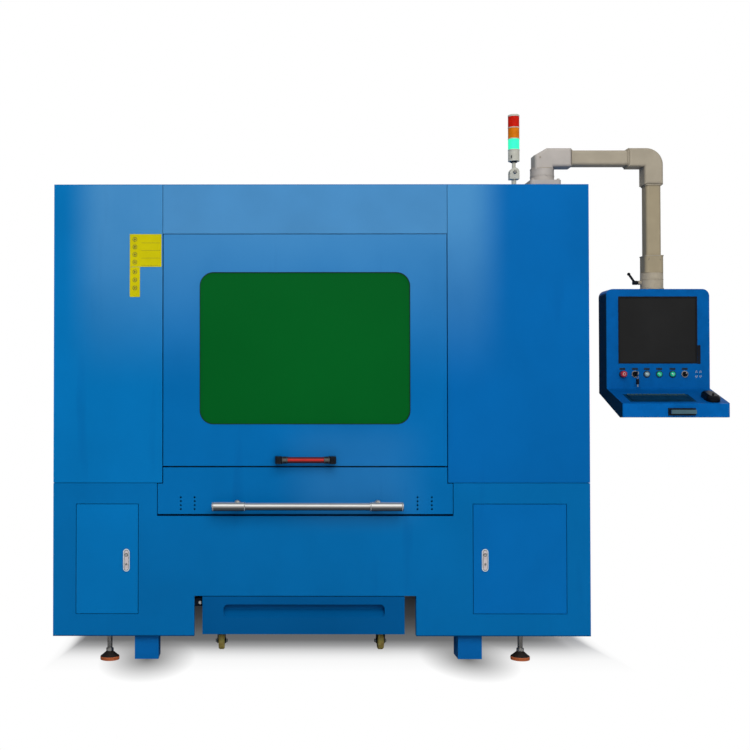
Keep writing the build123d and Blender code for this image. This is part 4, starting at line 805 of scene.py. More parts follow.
class LASER_OT_bar_fittings(bpy.types.Operator):
    """Domed caps, end plugs and sleeve rings of the table's bar handle"""

    bl_idname = "laser.bar_fittings"
    bl_label = "Bar Handle Fittings"

    SLEEVE_RING = (0.0185, 0.0198, -0.0015, 0.0015, 0.0005)
    CLAMP = (0.0158, 0.0166, -0.013, 0.013, 0.0003)
    BAR_RADIUS = 0.019
    RING_INSET = 0.004
    PLUG = ((0.0175, 0.0), (0.0175, -0.0003), (0.016, -0.0015), (0.006, -0.0022), (0.003, -0.0022))
    DOME = ((0.0135, -0.008), (0.0135, -0.001), (0.0115, 0.0035), (0.0070, 0.0068), (0.002, 0.0078))

    sleeve: length_setting("Sleeve", "Length of an end sleeve", 0.138)
    spacing: length_setting("Posts", "Distance between the posts", 0.581)

    def execute(self, context):
        low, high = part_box("table_handle_bar")
        bar_y = low.y + self.BAR_RADIUS
        bar_z = (low.z + high.z) / 2
        mesh = bmesh.new()
        for end, sign in ((low.x, 1), (high.x, -1)):
            for step in (self.RING_INSET, self.sleeve - self.RING_INSET):
                centre = Vector((end + sign * step, bar_y, bar_z))
                turned_ring(mesh, centre, "x", *self.SLEEVE_RING)
            turned_solid(mesh, Vector((end, bar_y, bar_z)), "x", [(r, d * sign) for r, d in self.PLUG])
        new_piece("bar_sleeve_rings", mesh, "steel", "work_table")
        mesh = bmesh.new()
        for side in (-1, 1):
            x = (low.x + high.x) / 2 + side * self.spacing / 2
            turned_ring(mesh, Vector((x, bar_y, bar_z)), "x", *self.CLAMP)
            turned_solid(mesh, Vector((x, bar_y + 0.004, bar_z + 0.021)), "z", self.DOME)
        new_piece("bar_post_clamps", mesh, "steel", "work_table")
        return {"FINISHED"}


class LASER_OT_lock_fittings(bpy.types.Operator):
    """Key barrel, push button and rim line of both service door locks"""

    bl_idname = "laser.lock_fittings"
    bl_label = "Lock Fittings"

    BUTTON_RIM = (0.0062, 0.0074, -0.0006, 0.0, 0.0002)
    BARREL = ((0.0052, 0.0), (0.0052, -0.0012), (0.0046, -0.0018), (0.0018, -0.0018), (0.0014, -0.0006))
    BUTTON = ((0.0060, 0.0), (0.0060, -0.0014), (0.0050, -0.0024), (0.0015, -0.0028))
    BARREL_RISE = 0.024
    BUTTON_DROP = 0.018

    def execute(self, context):
        for side in ("left", "right"):
            low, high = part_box(f"{side}_lock_lever")
            x = (low.x + high.x) / 2
            button = Vector((x, low.y, high.z - self.BUTTON_DROP))
            mesh = bmesh.new()
            turned_solid(mesh, Vector((x, low.y, low.z + self.BARREL_RISE)), "y", self.BARREL)
            turned_solid(mesh, button, "y", self.BUTTON)
            new_piece(f"{side}_lock_barrel", mesh, "steel", f"{side}_lever")
            mesh = bmesh.new()
            eased_block(mesh, (x - 0.0010, low.y - 0.0022, low.z + 0.0200),
                        (x + 0.0010, low.y - 0.0017, low.z + 0.0285), 0.0001)
            turned_ring(mesh, button, "y", *self.BUTTON_RIM)
            new_piece(f"{side}_lock_marks", mesh, "black", f"{side}_lever")
        return {"FINISHED"}


class LASER_OT_foot_fittings(bpy.types.Operator):
    """Thread turns on the four studs, mounting plates above them and skirts round the pads"""

    bl_idname = "laser.foot_fittings"
    bl_label = "Foot Fittings"

    THREAD_TURN = (0.0095, 0.0108, 0.0, 0.0016, 0.0004, 20)
    PAD_RADIUS = 0.040
    TURNS = 18
    THREAD_BOTTOM = 0.050
    THREAD_PITCH = 0.003
    PLATE_HALF = (0.045, 0.028)
    SKIRT = ((0.0385, 0.0128), (0.0405, 0.0105), (0.0402, 0.004), (0.0388, 0.0005), (0.034, 0.0004))

    def execute(self, context):
        low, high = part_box("levelling_feet")
        half_x, half_y = self.PLATE_HALF
        mesh = bmesh.new()
        plates = bmesh.new()
        for x in (low.x + self.PAD_RADIUS, high.x - self.PAD_RADIUS):
            for y in (low.y + self.PAD_RADIUS, high.y - self.PAD_RADIUS):
                for turn in range(self.TURNS):
                    spot = Vector((x, y, self.THREAD_BOTTOM + turn * self.THREAD_PITCH))
                    turned_ring(mesh, spot, "z", *self.THREAD_TURN)
                eased_block(plates, (x - half_x, y - half_y, high.z - 0.0135),
                            (x + half_x, y + half_y, high.z - 0.0125))
                turned(plates, Vector((x, y, 0)), "z", self.SKIRT)
        new_piece("stud_threads", mesh, "thread", "cabinet")
        new_piece("foot_skirts", plates, "pad", "cabinet")
        return {"FINISHED"}


class LASER_OT_caster_fittings(bpy.types.Operator):
    """Ball race, axle washers and nuts and wheel discs of the four casters"""

    bl_idname = "laser.caster_fittings"
    bl_label = "Caster Fittings"

    SWIVEL_BACK = 0.024
    HUB_REACH = 0.0176
    SPOKES = 6
    SPOKE_RADIUS = 0.0215
    RACE = ((0.0250, -0.011), (0.0275, -0.009), (0.0275, -0.0045), (0.0235, -0.002), (0.0235, -0.0004))
    # Profiles of one side, (radius, distance outward)
    WASHER = ((0.0120, 0.0), (0.0120, 0.0010), (0.0112, 0.0016), (0.006, 0.0016))
    AXLE_END = ((0.0078, 0.0056), (0.0078, 0.0070), (0.0068, 0.0078), (0.003, 0.0080))
    NUT = ((0.0066, 0.0012), (0.0072, 0.0018), (0.0072, 0.0052), (0.0066, 0.0060))
    DISC = ((0.0280, 0.0100), (0.0272, 0.0112), (0.0165, 0.0108), (0.0150, 0.0100))
    STUD = ((0.0028, 0.0), (0.0028, 0.0010), (0.002, 0.0013))

    def execute(self, context):
        for place in CASTER_PLACES:
            wheel = middle_of(f"{place}_caster_wheel")
            fork_low, fork_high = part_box(f"{place}_caster_fork")
            race, washers, nuts, disc = (bmesh.new() for _ in range(4))
            turned(race, Vector((wheel.x, fork_low.y + self.SWIVEL_BACK, fork_high.z)), "z", self.RACE)
            for side in (-1, 1):
                hub = wheel + Vector((side * self.HUB_REACH, 0, 0))
                turned_solid(washers, hub, "x", self.outward(self.WASHER, side), 24)
                turned_solid(washers, hub, "x", self.outward(self.AXLE_END, side), 20)
                turned_solid(nuts, hub, "x", self.outward(self.NUT, side), 20)
                turned(disc, wheel, "x", self.outward(self.DISC, side), 32)
            for spoke in range(self.SPOKES):
                angle = 2 * math.pi * spoke / self.SPOKES
                for side in (-1, 1):
                    spot = wheel + Vector((side * 0.0106, math.cos(angle) * self.SPOKE_RADIUS,
                                           math.sin(angle) * self.SPOKE_RADIUS))
                    turned_solid(disc, spot, "x", self.outward(self.STUD, side), 10)
            new_piece(f"{place}_axle_washers", washers, "black", f"{place}_swivel")
            new_piece(f"{place}_axle_nuts", nuts, "spark", f"{place}_swivel")
            new_piece(f"{place}_caster_race", race, "zinc", f"{place}_swivel")
            new_piece(f"{place}_wheel_disc", disc, "beige", f"{place}_wheel")
        return {"FINISHED"}

    @staticmethod
    def outward(profile, side):
        """A profile on the left or the right side of a wheel."""
        return [(radius, side * distance) for radius, distance in profile]


class LASER_OT_arm_fittings(bpy.types.Operator):
    """Seam rings, set screws, flange bolts and collars of the console arm"""

    bl_idname = "laser.arm_fittings"
    bl_label = "Arm Fittings"

    SEAM_RING = (0.0498, 0.0510, -0.0012, 0.0012, 0.0005, 48)
    ELBOW_RING = (0.0498, 0.0508, -0.0012, 0.0012, 0.0005, 48)
    # Head radius and height of the flange's bolts
    BOLT = (0.0065, 0.006)
    BASE_SCREW = 0.0048
    ARM_SCREW = 0.0036
    COLLAR = 0.004
    BOLT_REACH = 0.054
    # Rings round the arm's base, down from its top
    BASE_RINGS = (0.021, 0.0245)
    TUBE_HALF = 0.036
    SOCKET_HALF = 0.0412
    # Rings on the console's neck, from its top: (inner, outer, low, high, edge)
    NECK_RINGS = ((0.0468, 0.0480, -0.0290, -0.0268, 0.0005), (0.0468, 0.0496, -0.0706, -0.0640, 0.001))

    def execute(self, context):
        low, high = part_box("arm_base")
        x = (low.x + high.x) / 2
        y = (low.y + high.y) / 2
        mesh = bmesh.new()
        for drop in self.BASE_RINGS:
            turned_ring(mesh, Vector((x, y, high.z - drop)), "z", *self.SEAM_RING)
        new_piece("arm_base_rings", mesh, "arm_light", "cabinet")
        mesh = bmesh.new()
        for dx in (-self.BOLT_REACH, self.BOLT_REACH):
            for dy in (-self.BOLT_REACH, self.BOLT_REACH):
                hex_head(mesh, Vector((x + dx, y + dy, low.z + 0.026)), "z", *self.BOLT)
        screw_head(mesh, Vector((x + 0.010, y - 0.0488, low.z + 0.048)), "y", self.BASE_SCREW)
        new_piece("arm_base_bolts", mesh, "arm_light", "cabinet")
        elbow_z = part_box("arm_lower_elbow")[0].z
        tube_low, tube_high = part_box("arm_cross_tube")
        drop_low, drop_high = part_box("arm_drop_tube")
        drop = (drop_low + drop_high) / 2
        mesh = bmesh.new()
        turned_ring(mesh, Vector((x, y, elbow_z + 0.0085)), "z", *self.ELBOW_RING)
        for node, axis, start, length, half in (
                ("arm_cross_tube", "x", tube_low.x, self.COLLAR, self.TUBE_HALF),
                ("arm_cross_tube", "x", tube_high.x - self.COLLAR, self.COLLAR, self.TUBE_HALF),
                ("arm_drop_tube", "z", drop_high.z - self.COLLAR, self.COLLAR, self.TUBE_HALF),
                ("arm_drop_tube", "z", drop_low.z + 0.0712, 0.0035, self.SOCKET_HALF)):
            self.square_ring(mesh, middle_of(node), axis, start, length, half)
        new_piece("arm_collars", mesh, "arm", "arm")
        mesh = bmesh.new()
        for spot in (Vector((x - 0.018, y - 0.0402, elbow_z + 0.055)),
                     Vector((drop.x - 0.024, drop.y - 0.0402, drop_low.z + 0.058)),
                     Vector((drop.x + 0.024, drop.y - 0.0402, drop_low.z + 0.058))):
            screw_head(mesh, spot, "y", self.ARM_SCREW)
        new_piece("arm_screws", mesh, "arm", "arm")
        mesh = bmesh.new()
        neck_top = Vector((drop.x, drop.y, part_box("console_housing")[1].z))
        for ring in self.NECK_RINGS:
            turned_ring(mesh, neck_top, "z", *ring, 48)
        new_piece("neck_rings", mesh, "arm", "console")
        return {"FINISHED"}

    @staticmethod
    def square_ring(mesh, middle, axis, start, length, half):
        """A thin rounded square collar round a square tube."""
        inside = half - 0.006
        inner = round_outline(-inside, inside, -inside, inside, 0.010)
        outer = round_outline(-half, half, -half, half, 0.014)
        rows = []
        for points, along in ((outer, start), (outer, start + length), (inner, start + length), (inner, start)):
            if axis == "x":
                rows.append([mesh.verts.new((along, middle.y + a, middle.z + b)) for a, b in points])
            else:
                rows.append([mesh.verts.new((middle.x + a, middle.y + b, along)) for a, b in points])
        bridge(mesh, rows, True)


class LASER_OT_console_face(bpy.types.Operator):
    """Screen bezel and strip, legend plates, control rings, speaker field and back louvres"""

    bl_idname = "laser.console_face"
    bl_label = "Console Face"

    BEZEL_HOLE = 0.0112
    BEZEL_DEPTH = 0.0035
    RIVET = (0.0008, 0.0019, -0.0008, 0.0, 0.0002, 12)
    RIVET_STEP = 0.0032
    LOUVRE_PITCH = 0.016
    ROW = ("stop_button", "key_switch", "clear_button", "start_button", "feed_button", "mode_selector")
    BRIGHT = ("key_switch", "mode_selector")
    FACE_LEAD = 0.002
    FIELD_REACH = 0.058
    FIELD_STEP = 0.0085
    LOUVRES = 7

    def execute(self, context):
        low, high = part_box("console_screen")
        face_y = low.y - self.FACE_LEAD
        proud = face_y - 0.0012
        mesh = bmesh.new()
        front_frame(mesh, grown_outline(low, high, 0.0003, 0.003, 4),
                    grown_outline(low, high, -0.005, 0.002, 4), proud, face_y + 0.0018)
        new_piece("screen_bezel", mesh, "black", "console")
        mesh = bmesh.new()
        strip = round_outline(high.x + 0.0010, high.x + 0.0130, low.z - 0.002, low.z + 0.078, 0.002, 3)
        front_plate(mesh, strip, proud, face_y)
        new_piece("screen_side_strip", mesh, "black", "console")
        places = [middle_of(node).x for node in self.ROW]
        row_z = middle_of("clear_button").z
        radius = context.scene.laser_fitting.bezel
        plates, rings, bright_rings = (bmesh.new() for _ in range(3))
        for node, x in zip(self.ROW, places):
            legend = round_outline(x - 0.0125, x + 0.0125, row_z + 0.018, row_z + 0.0265, 0.0015, 3)
            front_plate(plates, legend, face_y - 0.0010, face_y)
            target = bright_rings if node in self.BRIGHT else rings
            turned_ring(target, Vector((x, face_y, row_z)), "y", self.BEZEL_HOLE, radius,
                        -self.BEZEL_DEPTH, 0.0, 0.001)
        new_piece("legend_plates", plates, "plate", "console")
        new_piece("control_bezels", rings, "plate", "console")
        new_piece("switch_bezels", bright_rings, "steel", "console")
        mesh = bmesh.new()
        field_x = places[-1] + self.FIELD_REACH
        for column in (-1, 1):
            for row in (-1, 1):
                for dx, dz in ((-self.RIVET_STEP, 0.0), (self.RIVET_STEP, 0.0), (0.0, 0.0050 * row)):
                    spot = Vector((field_x + column * self.FIELD_STEP + dx, face_y,
                                   row_z + row * self.FIELD_STEP + dz))
                    turned_ring(mesh, spot, "y", *self.RIVET)
        new_piece("speaker_rivets", mesh, "pale", "console")
        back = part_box("console_housing")[1].y
        mesh = bmesh.new()
        for row in range(self.LOUVRES):
            z = low.z + 0.05 + row * self.LOUVRE_PITCH
            eased_block(mesh, (low.x + 0.08, back, z), (high.x - 0.08, back + 0.0016, z + 0.006), 0.0006)
        new_piece("console_back_louvres", mesh, "blue", "console")
        return {"FINISHED"}


class LASER_OT_controls(bpy.types.Operator):
    """Dished button faces with painted highlights, the stop button's ring and the keys in the key switch"""

    bl_idname = "laser.controls"
    bl_label = "Controls"

    FACE_RING = (0.0068, 0.0088, -0.0010, 0.0004, 0.0004)
    STOP_RING = (0.0048, 0.0062, -0.0005, 0.0004, 0.0002)
    BOW_RIM = (0.0095, 0.0120, -0.0010, 0.0010, 0.0004)
    # Node, body, finish and slot of the push buttons
    BUTTONS = (
        ("clear_button", "clear", "clear", "clear_button"),
        ("start_button", "start", "lit", "green_button"),
        ("feed_button", "feed", "lit", "green_button"))
    DISH = ((0.0066, 0.0002), (0.005, -0.0003), (0.003, -0.0007), (0.001, -0.0009))
    # Painted highlights on a button, as small pale discs: across, up and radius
    GLINTS = ((-0.0030, 0.0022, 0.0022), (0.0026, 0.0004, 0.0019), (-0.0008, -0.0030, 0.0014))
    LINK = ((0.0007, -0.0013), (0.0008, 0.0), (0.0007, 0.0013))
    LINKS = 24
    RING_DROP = 0.0145
    RING_RADIUS = 0.009

    def execute(self, context):
        for node, body, finish_name, slot in self.BUTTONS:
            centre = self.front_middle(node)
            mesh = bmesh.new()
            turned_ring(mesh, centre, "y", *self.FACE_RING)
            turned_solid(mesh, centre, "y", self.DISH)
            new_piece(f"{node}_face", mesh, finish_name, body)
            # Pale discs on the button face: painted highlights.
            mesh = bmesh.new()
            for dx, dz, size in self.GLINTS:
                glint = [(size, 0.0), (size, -0.0004), (size * 0.6, -0.0007)]
                turned_solid(mesh, centre + Vector((dx, -0.0004, dz)), "y", glint, 14)
            new_piece(f"{node}_mark", mesh, "spark", body)
        mesh = bmesh.new()
        turned_ring(mesh, self.front_middle("stop_button"), "y", *self.STOP_RING)
        new_piece("stop_button_ring", mesh, "pale", "stop")
        self.keys(*self.front_middle("key_switch"))
        x, y, z = self.front_middle("mode_selector")
        mesh = bmesh.new()
        eased_block(mesh, (x - 0.0009, y - 0.0004, z), (x + 0.0009, y + 0.0002, z + 0.009), 0.0002)
        new_piece("selector_pointer", mesh, "lock", "mode")
        return {"FINISHED"}

    @staticmethod
    def front_middle(node):
        """The middle of a node's front."""
        middle = middle_of(node)
        return Vector((middle.x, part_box(node)[0].y, middle.z))

    def keys(self, x, y, z):
        """The rim of the key's bow, and the ring, key and fob that hang from the switch."""
        mesh = bmesh.new()
        turned_ring(mesh, Vector((x, y - 0.0008, z + 0.002)), "x", *self.BOW_RIM)
        new_piece("key_bow_rim", mesh, "steel", "key")
        mesh = bmesh.new()
        ring_z = z - self.RING_DROP
        for turn in range(self.LINKS):
            angle = 2 * math.pi * turn / self.LINKS
            spot = Vector((x + 0.0008, y + 0.001 + self.RING_RADIUS * math.cos(angle),
                           ring_z + self.RING_RADIUS * math.sin(angle)))
            turned_solid(mesh, spot, "z", self.LINK, 8)
        eased_block(mesh, (x - 0.0011, y - 0.0010, ring_z - 0.040),
                    (x + 0.0026, y + 0.009, ring_z - 0.026), 0.0005)
        new_piece("hanging_keys", mesh, "steel", "console")
        mesh = bmesh.new()
        eased_block(mesh, (x - 0.0030, y - 0.007, ring_z - 0.029),
                    (x + 0.0050, y + 0.013, ring_z - 0.006), 0.0016)
        new_piece("key_fob", mesh, "dark", "console")


class LASER_OT_keyboard(bpy.types.Operator):
    """Keycaps in rows on the sloping keyboard, and the mouse's wheel"""

    bl_idname = "laser.keyboard"
    bl_label = "Keyboard and Mouse"

    KEY_HALF = 0.0068
    KEY_LIFT = 0.0045
    # How far up the slope from the middle the first row lies
    FIRST_ROW = 0.038
    ROWS = 5
    KEYS = 15
    LAST_ROW_KEYS = 9
    SPACE_KEY = 4
    ROW_PITCH = 0.019
    MARGIN = 0.013
    WHEEL = ((0.0045, -0.003), (0.0052, -0.002), (0.0052, 0.002), (0.0045, 0.003))
    # A keycap's levels: lift off the keyboard and how far it draws in
    LEVELS = ((-0.0015, 0.0), (0.0012, 0.0002), (0.0022, 0.0011), (0.0020, 0.0022))

    slope: bpy.props.FloatProperty(
        name="Slope", description="Tilt of the shelf", subtype="ANGLE", default=math.atan2(63.0, 195.0))

    def execute(self, context):
        low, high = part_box("keyboard")
        down = Vector((0, -math.cos(self.slope), -math.sin(self.slope)))
        normal = Vector((0, -math.sin(self.slope), math.cos(self.slope)))
        gap = context.scene.laser_fitting.key_gap
        centre = (low + high) / 2
        mesh = bmesh.new()
        generator = random.Random(4)
        for row in range(self.ROWS):
            last = row == self.ROWS - 1
            count = self.LAST_ROW_KEYS if last else self.KEYS
            pitch = (high.x - low.x - 2 * self.MARGIN) / count
            for key in range(count):
                half = pitch / 2 - gap / 2
                if last and abs(key - self.SPACE_KEY) == 1:
                    continue
                if last and key == self.SPACE_KEY:
                    half = pitch * 1.5 - gap / 2
                x = low.x + self.MARGIN + (key + 0.5) * pitch + generator.uniform(-0.0001, 0.0001)
                spot = Vector((x, centre.y, centre.z)) + down * (-self.FIRST_ROW + row * self.ROW_PITCH)
                spot += normal * self.KEY_LIFT
                self.keycap(mesh, spot, half, self.KEY_HALF, down, normal)
        new_piece("keycaps", mesh, "keycap", "console")
        mesh = bmesh.new()
        turned_solid(mesh, middle_of("mouse") + down * 0.022 + normal * 0.0165, "x", self.WHEEL, 24)
        new_piece("mouse_wheel", mesh, "rubber", "console")
        return {"FINISHED"}

    def keycap(self, mesh, middle, half_x, half_y, down, normal):
        """A keycap: wider at its foot, dished on top."""
        rows = [[mesh.verts.new(middle + AXES["x"] * sx * (half_x - shrink) + down * sy * (half_y - shrink)
                                + normal * lift) for sx, sy in ((-1, -1), (1, -1), (1, 1), (-1, 1))]
                for lift, shrink in self.LEVELS]
        bridge(mesh, rows)
        mesh.faces.new(rows[0])
        mesh.faces.new(rows[-1])


class LASER_OT_tower_fittings(bpy.types.Operator):
    """Pale bands, base ring and screws of the tower light"""

    bl_idname = "laser.tower_fittings"
    bl_label = "Tower Light Fittings"

    LENS_BAND = (0.0238, 0.0248, -0.0018, 0.0022, 0.0006, 40)
    BASE_RING = (0.0078, 0.0150, -0.005, 0.0, 0.0015, 32)
    # Head radius and height
    KNUCKLE_BOLT = (0.0075, 0.005)
    KNUCKLE_CAP = ((0.0078, 0.0), (0.0078, -0.002), (0.0060, -0.0036), (0.002, -0.004))
    FLANGE_REACH = 0.026

    def execute(self, context):
        mesh = bmesh.new()
        for colour in ("green", "amber", "red"):
            lens = middle_of(f"tower_lens_{colour}")
            foot = Vector((lens.x, lens.y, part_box(f"tower_lens_{colour}")[0].z))
            turned_ring(mesh, foot, "z", *self.LENS_BAND)
        new_piece("lamp_bands", mesh, "beige", "tower")
        mesh = bmesh.new()
        x, y, _ = middle_of("tower_stem")
        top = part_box("tower_stem")[1].z
        turned_ring(mesh, Vector((x, y, top - 0.048)), "z", *self.BASE_RING)
        eased_block(mesh, (x - 0.0165, y - 0.0225, top - 0.038), (x - 0.0125, y - 0.0190, top - 0.026), 0.0008)
        new_piece("lamp_base_ring", mesh, "black", "tower")
        mesh = bmesh.new()
        low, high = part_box("tower_bracket")
        knuckle_z = high.z - 0.020
        hex_head(mesh, Vector((x, y + 0.019, knuckle_z)), "y", *self.KNUCKLE_BOLT)
        turned_solid(mesh, Vector((x, y - 0.0220, knuckle_z)), "y", self.KNUCKLE_CAP, 20)
        for degrees in (45, 135, 225, 315):
            angle = math.radians(degrees)
            spot = Vector((x + self.FLANGE_REACH * math.cos(angle), y + self.FLANGE_REACH * math.sin(angle),
                           low.z + 0.005))
            screw_head(mesh, spot, "z", 0.0038, 1.0)
        new_piece("tower_screws", mesh, "zinc", "cabinet")
        return {"FINISHED"}


class LASER_OT_guide_roller(bpy.types.Operator):
    """The small bolted guide beside the scrap drawer, in the upper left corner of its bay"""

    bl_idname = "laser.guide_roller"
    bl_label = "Drawer Guide"

    SETBACK = 0.030
    BOLT = ((0.0085, 0.0), (0.0085, -0.002), (0.0070, -0.0050), (0.0030, -0.0062))

    reach: length_setting("Reach", "Width of the bracket into the gap", 0.032)
    height: length_setting("Height", "Height of the bolt", 0.245)

    def execute(self, context):
        x1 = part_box("scrap_drawer")[0].x - 0.0015
        x0 = x1 - self.reach
        y = FRONT_Y + self.SETBACK
        mesh = bmesh.new()
        eased_block(mesh, (x0, y, self.height - 0.016), (x1, y + 0.004, self.height + 0.022), 0.001)
        eased_block(mesh, (x0, y, self.height + 0.018), (x1, y + 0.040, self.height + 0.022), 0.001)
        new_piece("drawer_guide_bracket", mesh, "dark", "cabinet")
        mesh = bmesh.new()
        turned_solid(mesh, Vector((x1 - 0.0095, y, self.height)), "y", self.BOLT, 20)
        new_piece("drawer_guide_bolt", mesh, "steel", "cabinet")
        return {"FINISHED"}


class LASER_OT_label(bpy.types.Operator):
    """The plain yellow L shaped plate with its discs and rules, free of words"""

    bl_idname = "laser.label"
    bl_label = "Yellow Plate"

    DISC_RING = (0.0075, 0.0095, -0.0003, 0.0, 0.0001, 24)
    THICKNESS = 0.0007
    DOT = ((0.0035, 0.0), (0.0035, -0.0002), (0.003, -0.0003))
    UPPER_DOTS = 4
    LOWER_DOTS = 3

    left: length_setting("Left", "Left edge from the cabinet's middle", -0.806)
    right: length_setting("Right", "Right edge from the cabinet's middle", -0.6725)
    strip: length_setting("Strip", "Width of the lower strip", 0.043)
    top: length_setting("Top", "Height of the top edge", 1.796)
    shoulder: length_setting("Shoulder", "Height of the inner corner", 1.657)
    foot: length_setting("Foot", "Height of the bottom edge", 1.531)

    def execute(self, context):
        x0 = CABINET_X + self.left
        x1 = CABINET_X + self.right
        xs = x0 + self.strip
        y = FRONT_Y - self.THICKNESS
        mesh = bmesh.new()
        for right, bottom, top in ((x1, self.shoulder + 0.001, self.top), (xs, self.foot, self.shoulder)):
            corners = [(x0, bottom), (right, bottom), (right, top), (x0, top)]
            front_plate(mesh, corners, y, FRONT_Y)
        new_piece("yellow_plate", mesh, "label", "cabinet")
        mesh = bmesh.new()
        places = [self.top - 0.022 - step * 0.032 for step in range(self.UPPER_DOTS)]
        places += [self.shoulder - 0.020 - step * 0.034 for step in range(self.LOWER_DOTS)]
        for z in places:
            spot = Vector((x0 + self.strip / 2, y, z))
            turned_ring(mesh, spot, "y", *self.DISC_RING)
            turned_solid(mesh, spot, "y", self.DOT, 16)
        for z in places[:self.UPPER_DOTS]:
            eased_block(mesh, (xs + 0.006, y - 0.0003, z - 0.0155), (x1 - 0.006, y, z - 0.0147), 0.0001)
        new_piece("yellow_plate_marks", mesh, "label_mark", "cabinet")
        return {"FINISHED"}


class LASER_OT_panel_screws(bpy.types.Operator):
    """Screws of the side, rear and roof panels, hoods over the louvres and the spigot's bead"""

    bl_idname = "laser.panel_screws"
    bl_label = "Panel Fixings"

    SPIGOT_BEAD = (0.0985, 0.1022, -0.002, 0.002, 0.0008, 64)
    SIDES = (("left_side_panel", 0, -1), ("right_side_panel", 1, 1))
    COLUMN_SCREWS = 8
    ROOF_SCREWS = 6
    ROOF_MARGIN = 0.05
    HOODS = 8
    HOOD_BOTTOM = 0.3075
    HOOD_PITCH = 0.022
    HOOD_HALF = 0.158

    spigot_offset: length_setting("Spigot Offset", "How far left of the middle the fume spigot stands", 0.0685)
    spigot_height: length_setting("Spigot Height", "Centre of the spigot", 0.560)

    def execute(self, context):
        radius = context.scene.laser_fitting.screw
        mesh = bmesh.new()
        for node, end, side in self.SIDES:
            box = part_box(node)
            for y in (box[0].y + 0.015, box[1].y - 0.015):
                for z in self.column(*box):
                    screw_head(mesh, Vector((box[end].x, y, z)), "x", radius, float(side))
        low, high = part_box("rear_panel")
        back = FRONT_Y + (ROOF_HI.y - ROOF_LO.y)
        for x in (low.x + 0.016, high.x - 0.016):
            for z in self.column(low, high):
                screw_head(mesh, Vector((x, back, z)), "y", radius, 1.0)
        roof_y = (ROOF_LO.y + ROOF_HI.y) / 2
        pitch = (ROOF_HI.x - ROOF_LO.x - 2 * self.ROOF_MARGIN) / (self.ROOF_SCREWS - 1)
        for y in (ROOF_LO.y + self.ROOF_MARGIN, roof_y, ROOF_HI.y - self.ROOF_MARGIN):
            for step in range(self.ROOF_SCREWS):
                x = ROOF_LO.x + self.ROOF_MARGIN + pitch * step
                screw_head(mesh, Vector((x, y, ROOF_HI.z)), "z", radius, 1.0)
        new_piece("panel_screws", mesh, "zinc", "cabinet")
        mesh = bmesh.new()
        spigot = Vector((CABINET_X - self.spigot_offset, high.y - 0.008, self.spigot_height))
        turned_ring(mesh, spigot, "y", *self.SPIGOT_BEAD)
        for node, end, side in self.SIDES:
            for row in range(self.HOODS):
                self.hood(mesh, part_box(node)[end].x, side, roof_y, self.HOOD_BOTTOM + row * self.HOOD_PITCH)
        new_piece("louvre_hoods", mesh, "blue", "cabinet")
        return {"FINISHED"}

    def column(self, low, high):
        """Heights of the screws along a panel's edge."""
        pitch = (high.z - low.z - 0.12) / (self.COLUMN_SCREWS - 1)
        return [low.z + 0.06 + pitch * step for step in range(self.COLUMN_SCREWS)]

    def hood(self, mesh, x, side, middle_y, z):
        """A pressed hood that leans out over a louvre slot."""
        rows = []
        for share in range(9):
            angle = math.pi * share / 8
            out = 0.006 * math.sin(angle) ** 0.5
            y = middle_y - self.HOOD_HALF * math.cos(angle)
            rows.append((mesh.verts.new((x, y, z + 0.004)), mesh.verts.new((x + side * out, y, z - 0.004))))
        for first, second in zip(rows, rows[1:]):
            mesh.faces.new((first[0], second[0], second[1], first[1]))


class LASER_OT_head_fittings(bpy.types.Operator):
    """Fittings of the cutting head and end caps of the gantry beam behind the window"""

    bl_idname = "laser.head_fittings"
    bl_label = "Head Fittings"

    HEAD_RING = (0.0238, 0.0262, 0.0, 0.004, 0.001)
    FIBRE_CAP = ((0.020, -0.012), (0.022, -0.010), (0.022, -0.004), (0.012, -0.0005), (0.006, -0.0003))
    CAP_LENGTH = 0.010

    def execute(self, context):
        low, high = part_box("cutting_head")
        x, y, _ = middle_of("nozzle")
        mesh = bmesh.new()
        for z in (low.z + 0.010, low.z + 0.020):
            turned_ring(mesh, Vector((x, y, z)), "z", *self.HEAD_RING)
        eased_block(mesh, (x - 0.030, low.y - 0.006, low.z + 0.070),
                    (x + 0.030, low.y - 0.0002, low.z + 0.095), 0.002)
        new_piece("head_lens_drawer", mesh, "black", "head")
        mesh = bmesh.new()
        turned_solid(mesh, Vector((x, y, high.z)), "z", self.FIBRE_CAP)
        new_piece("head_fibre_cap", mesh, "steel", "head")
        low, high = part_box("gantry_beam")
        mesh = bmesh.new()
        for x0, x1 in ((low.x - self.CAP_LENGTH, low.x), (high.x, high.x + self.CAP_LENGTH)):
            eased_block(mesh, (x0, low.y + 0.014, high.z - 0.128), (x1, high.y - 0.002, high.z - 0.002), 0.002)
        new_piece("beam_end_caps", mesh, "black", "gantry")
        return {"FINISHED"}


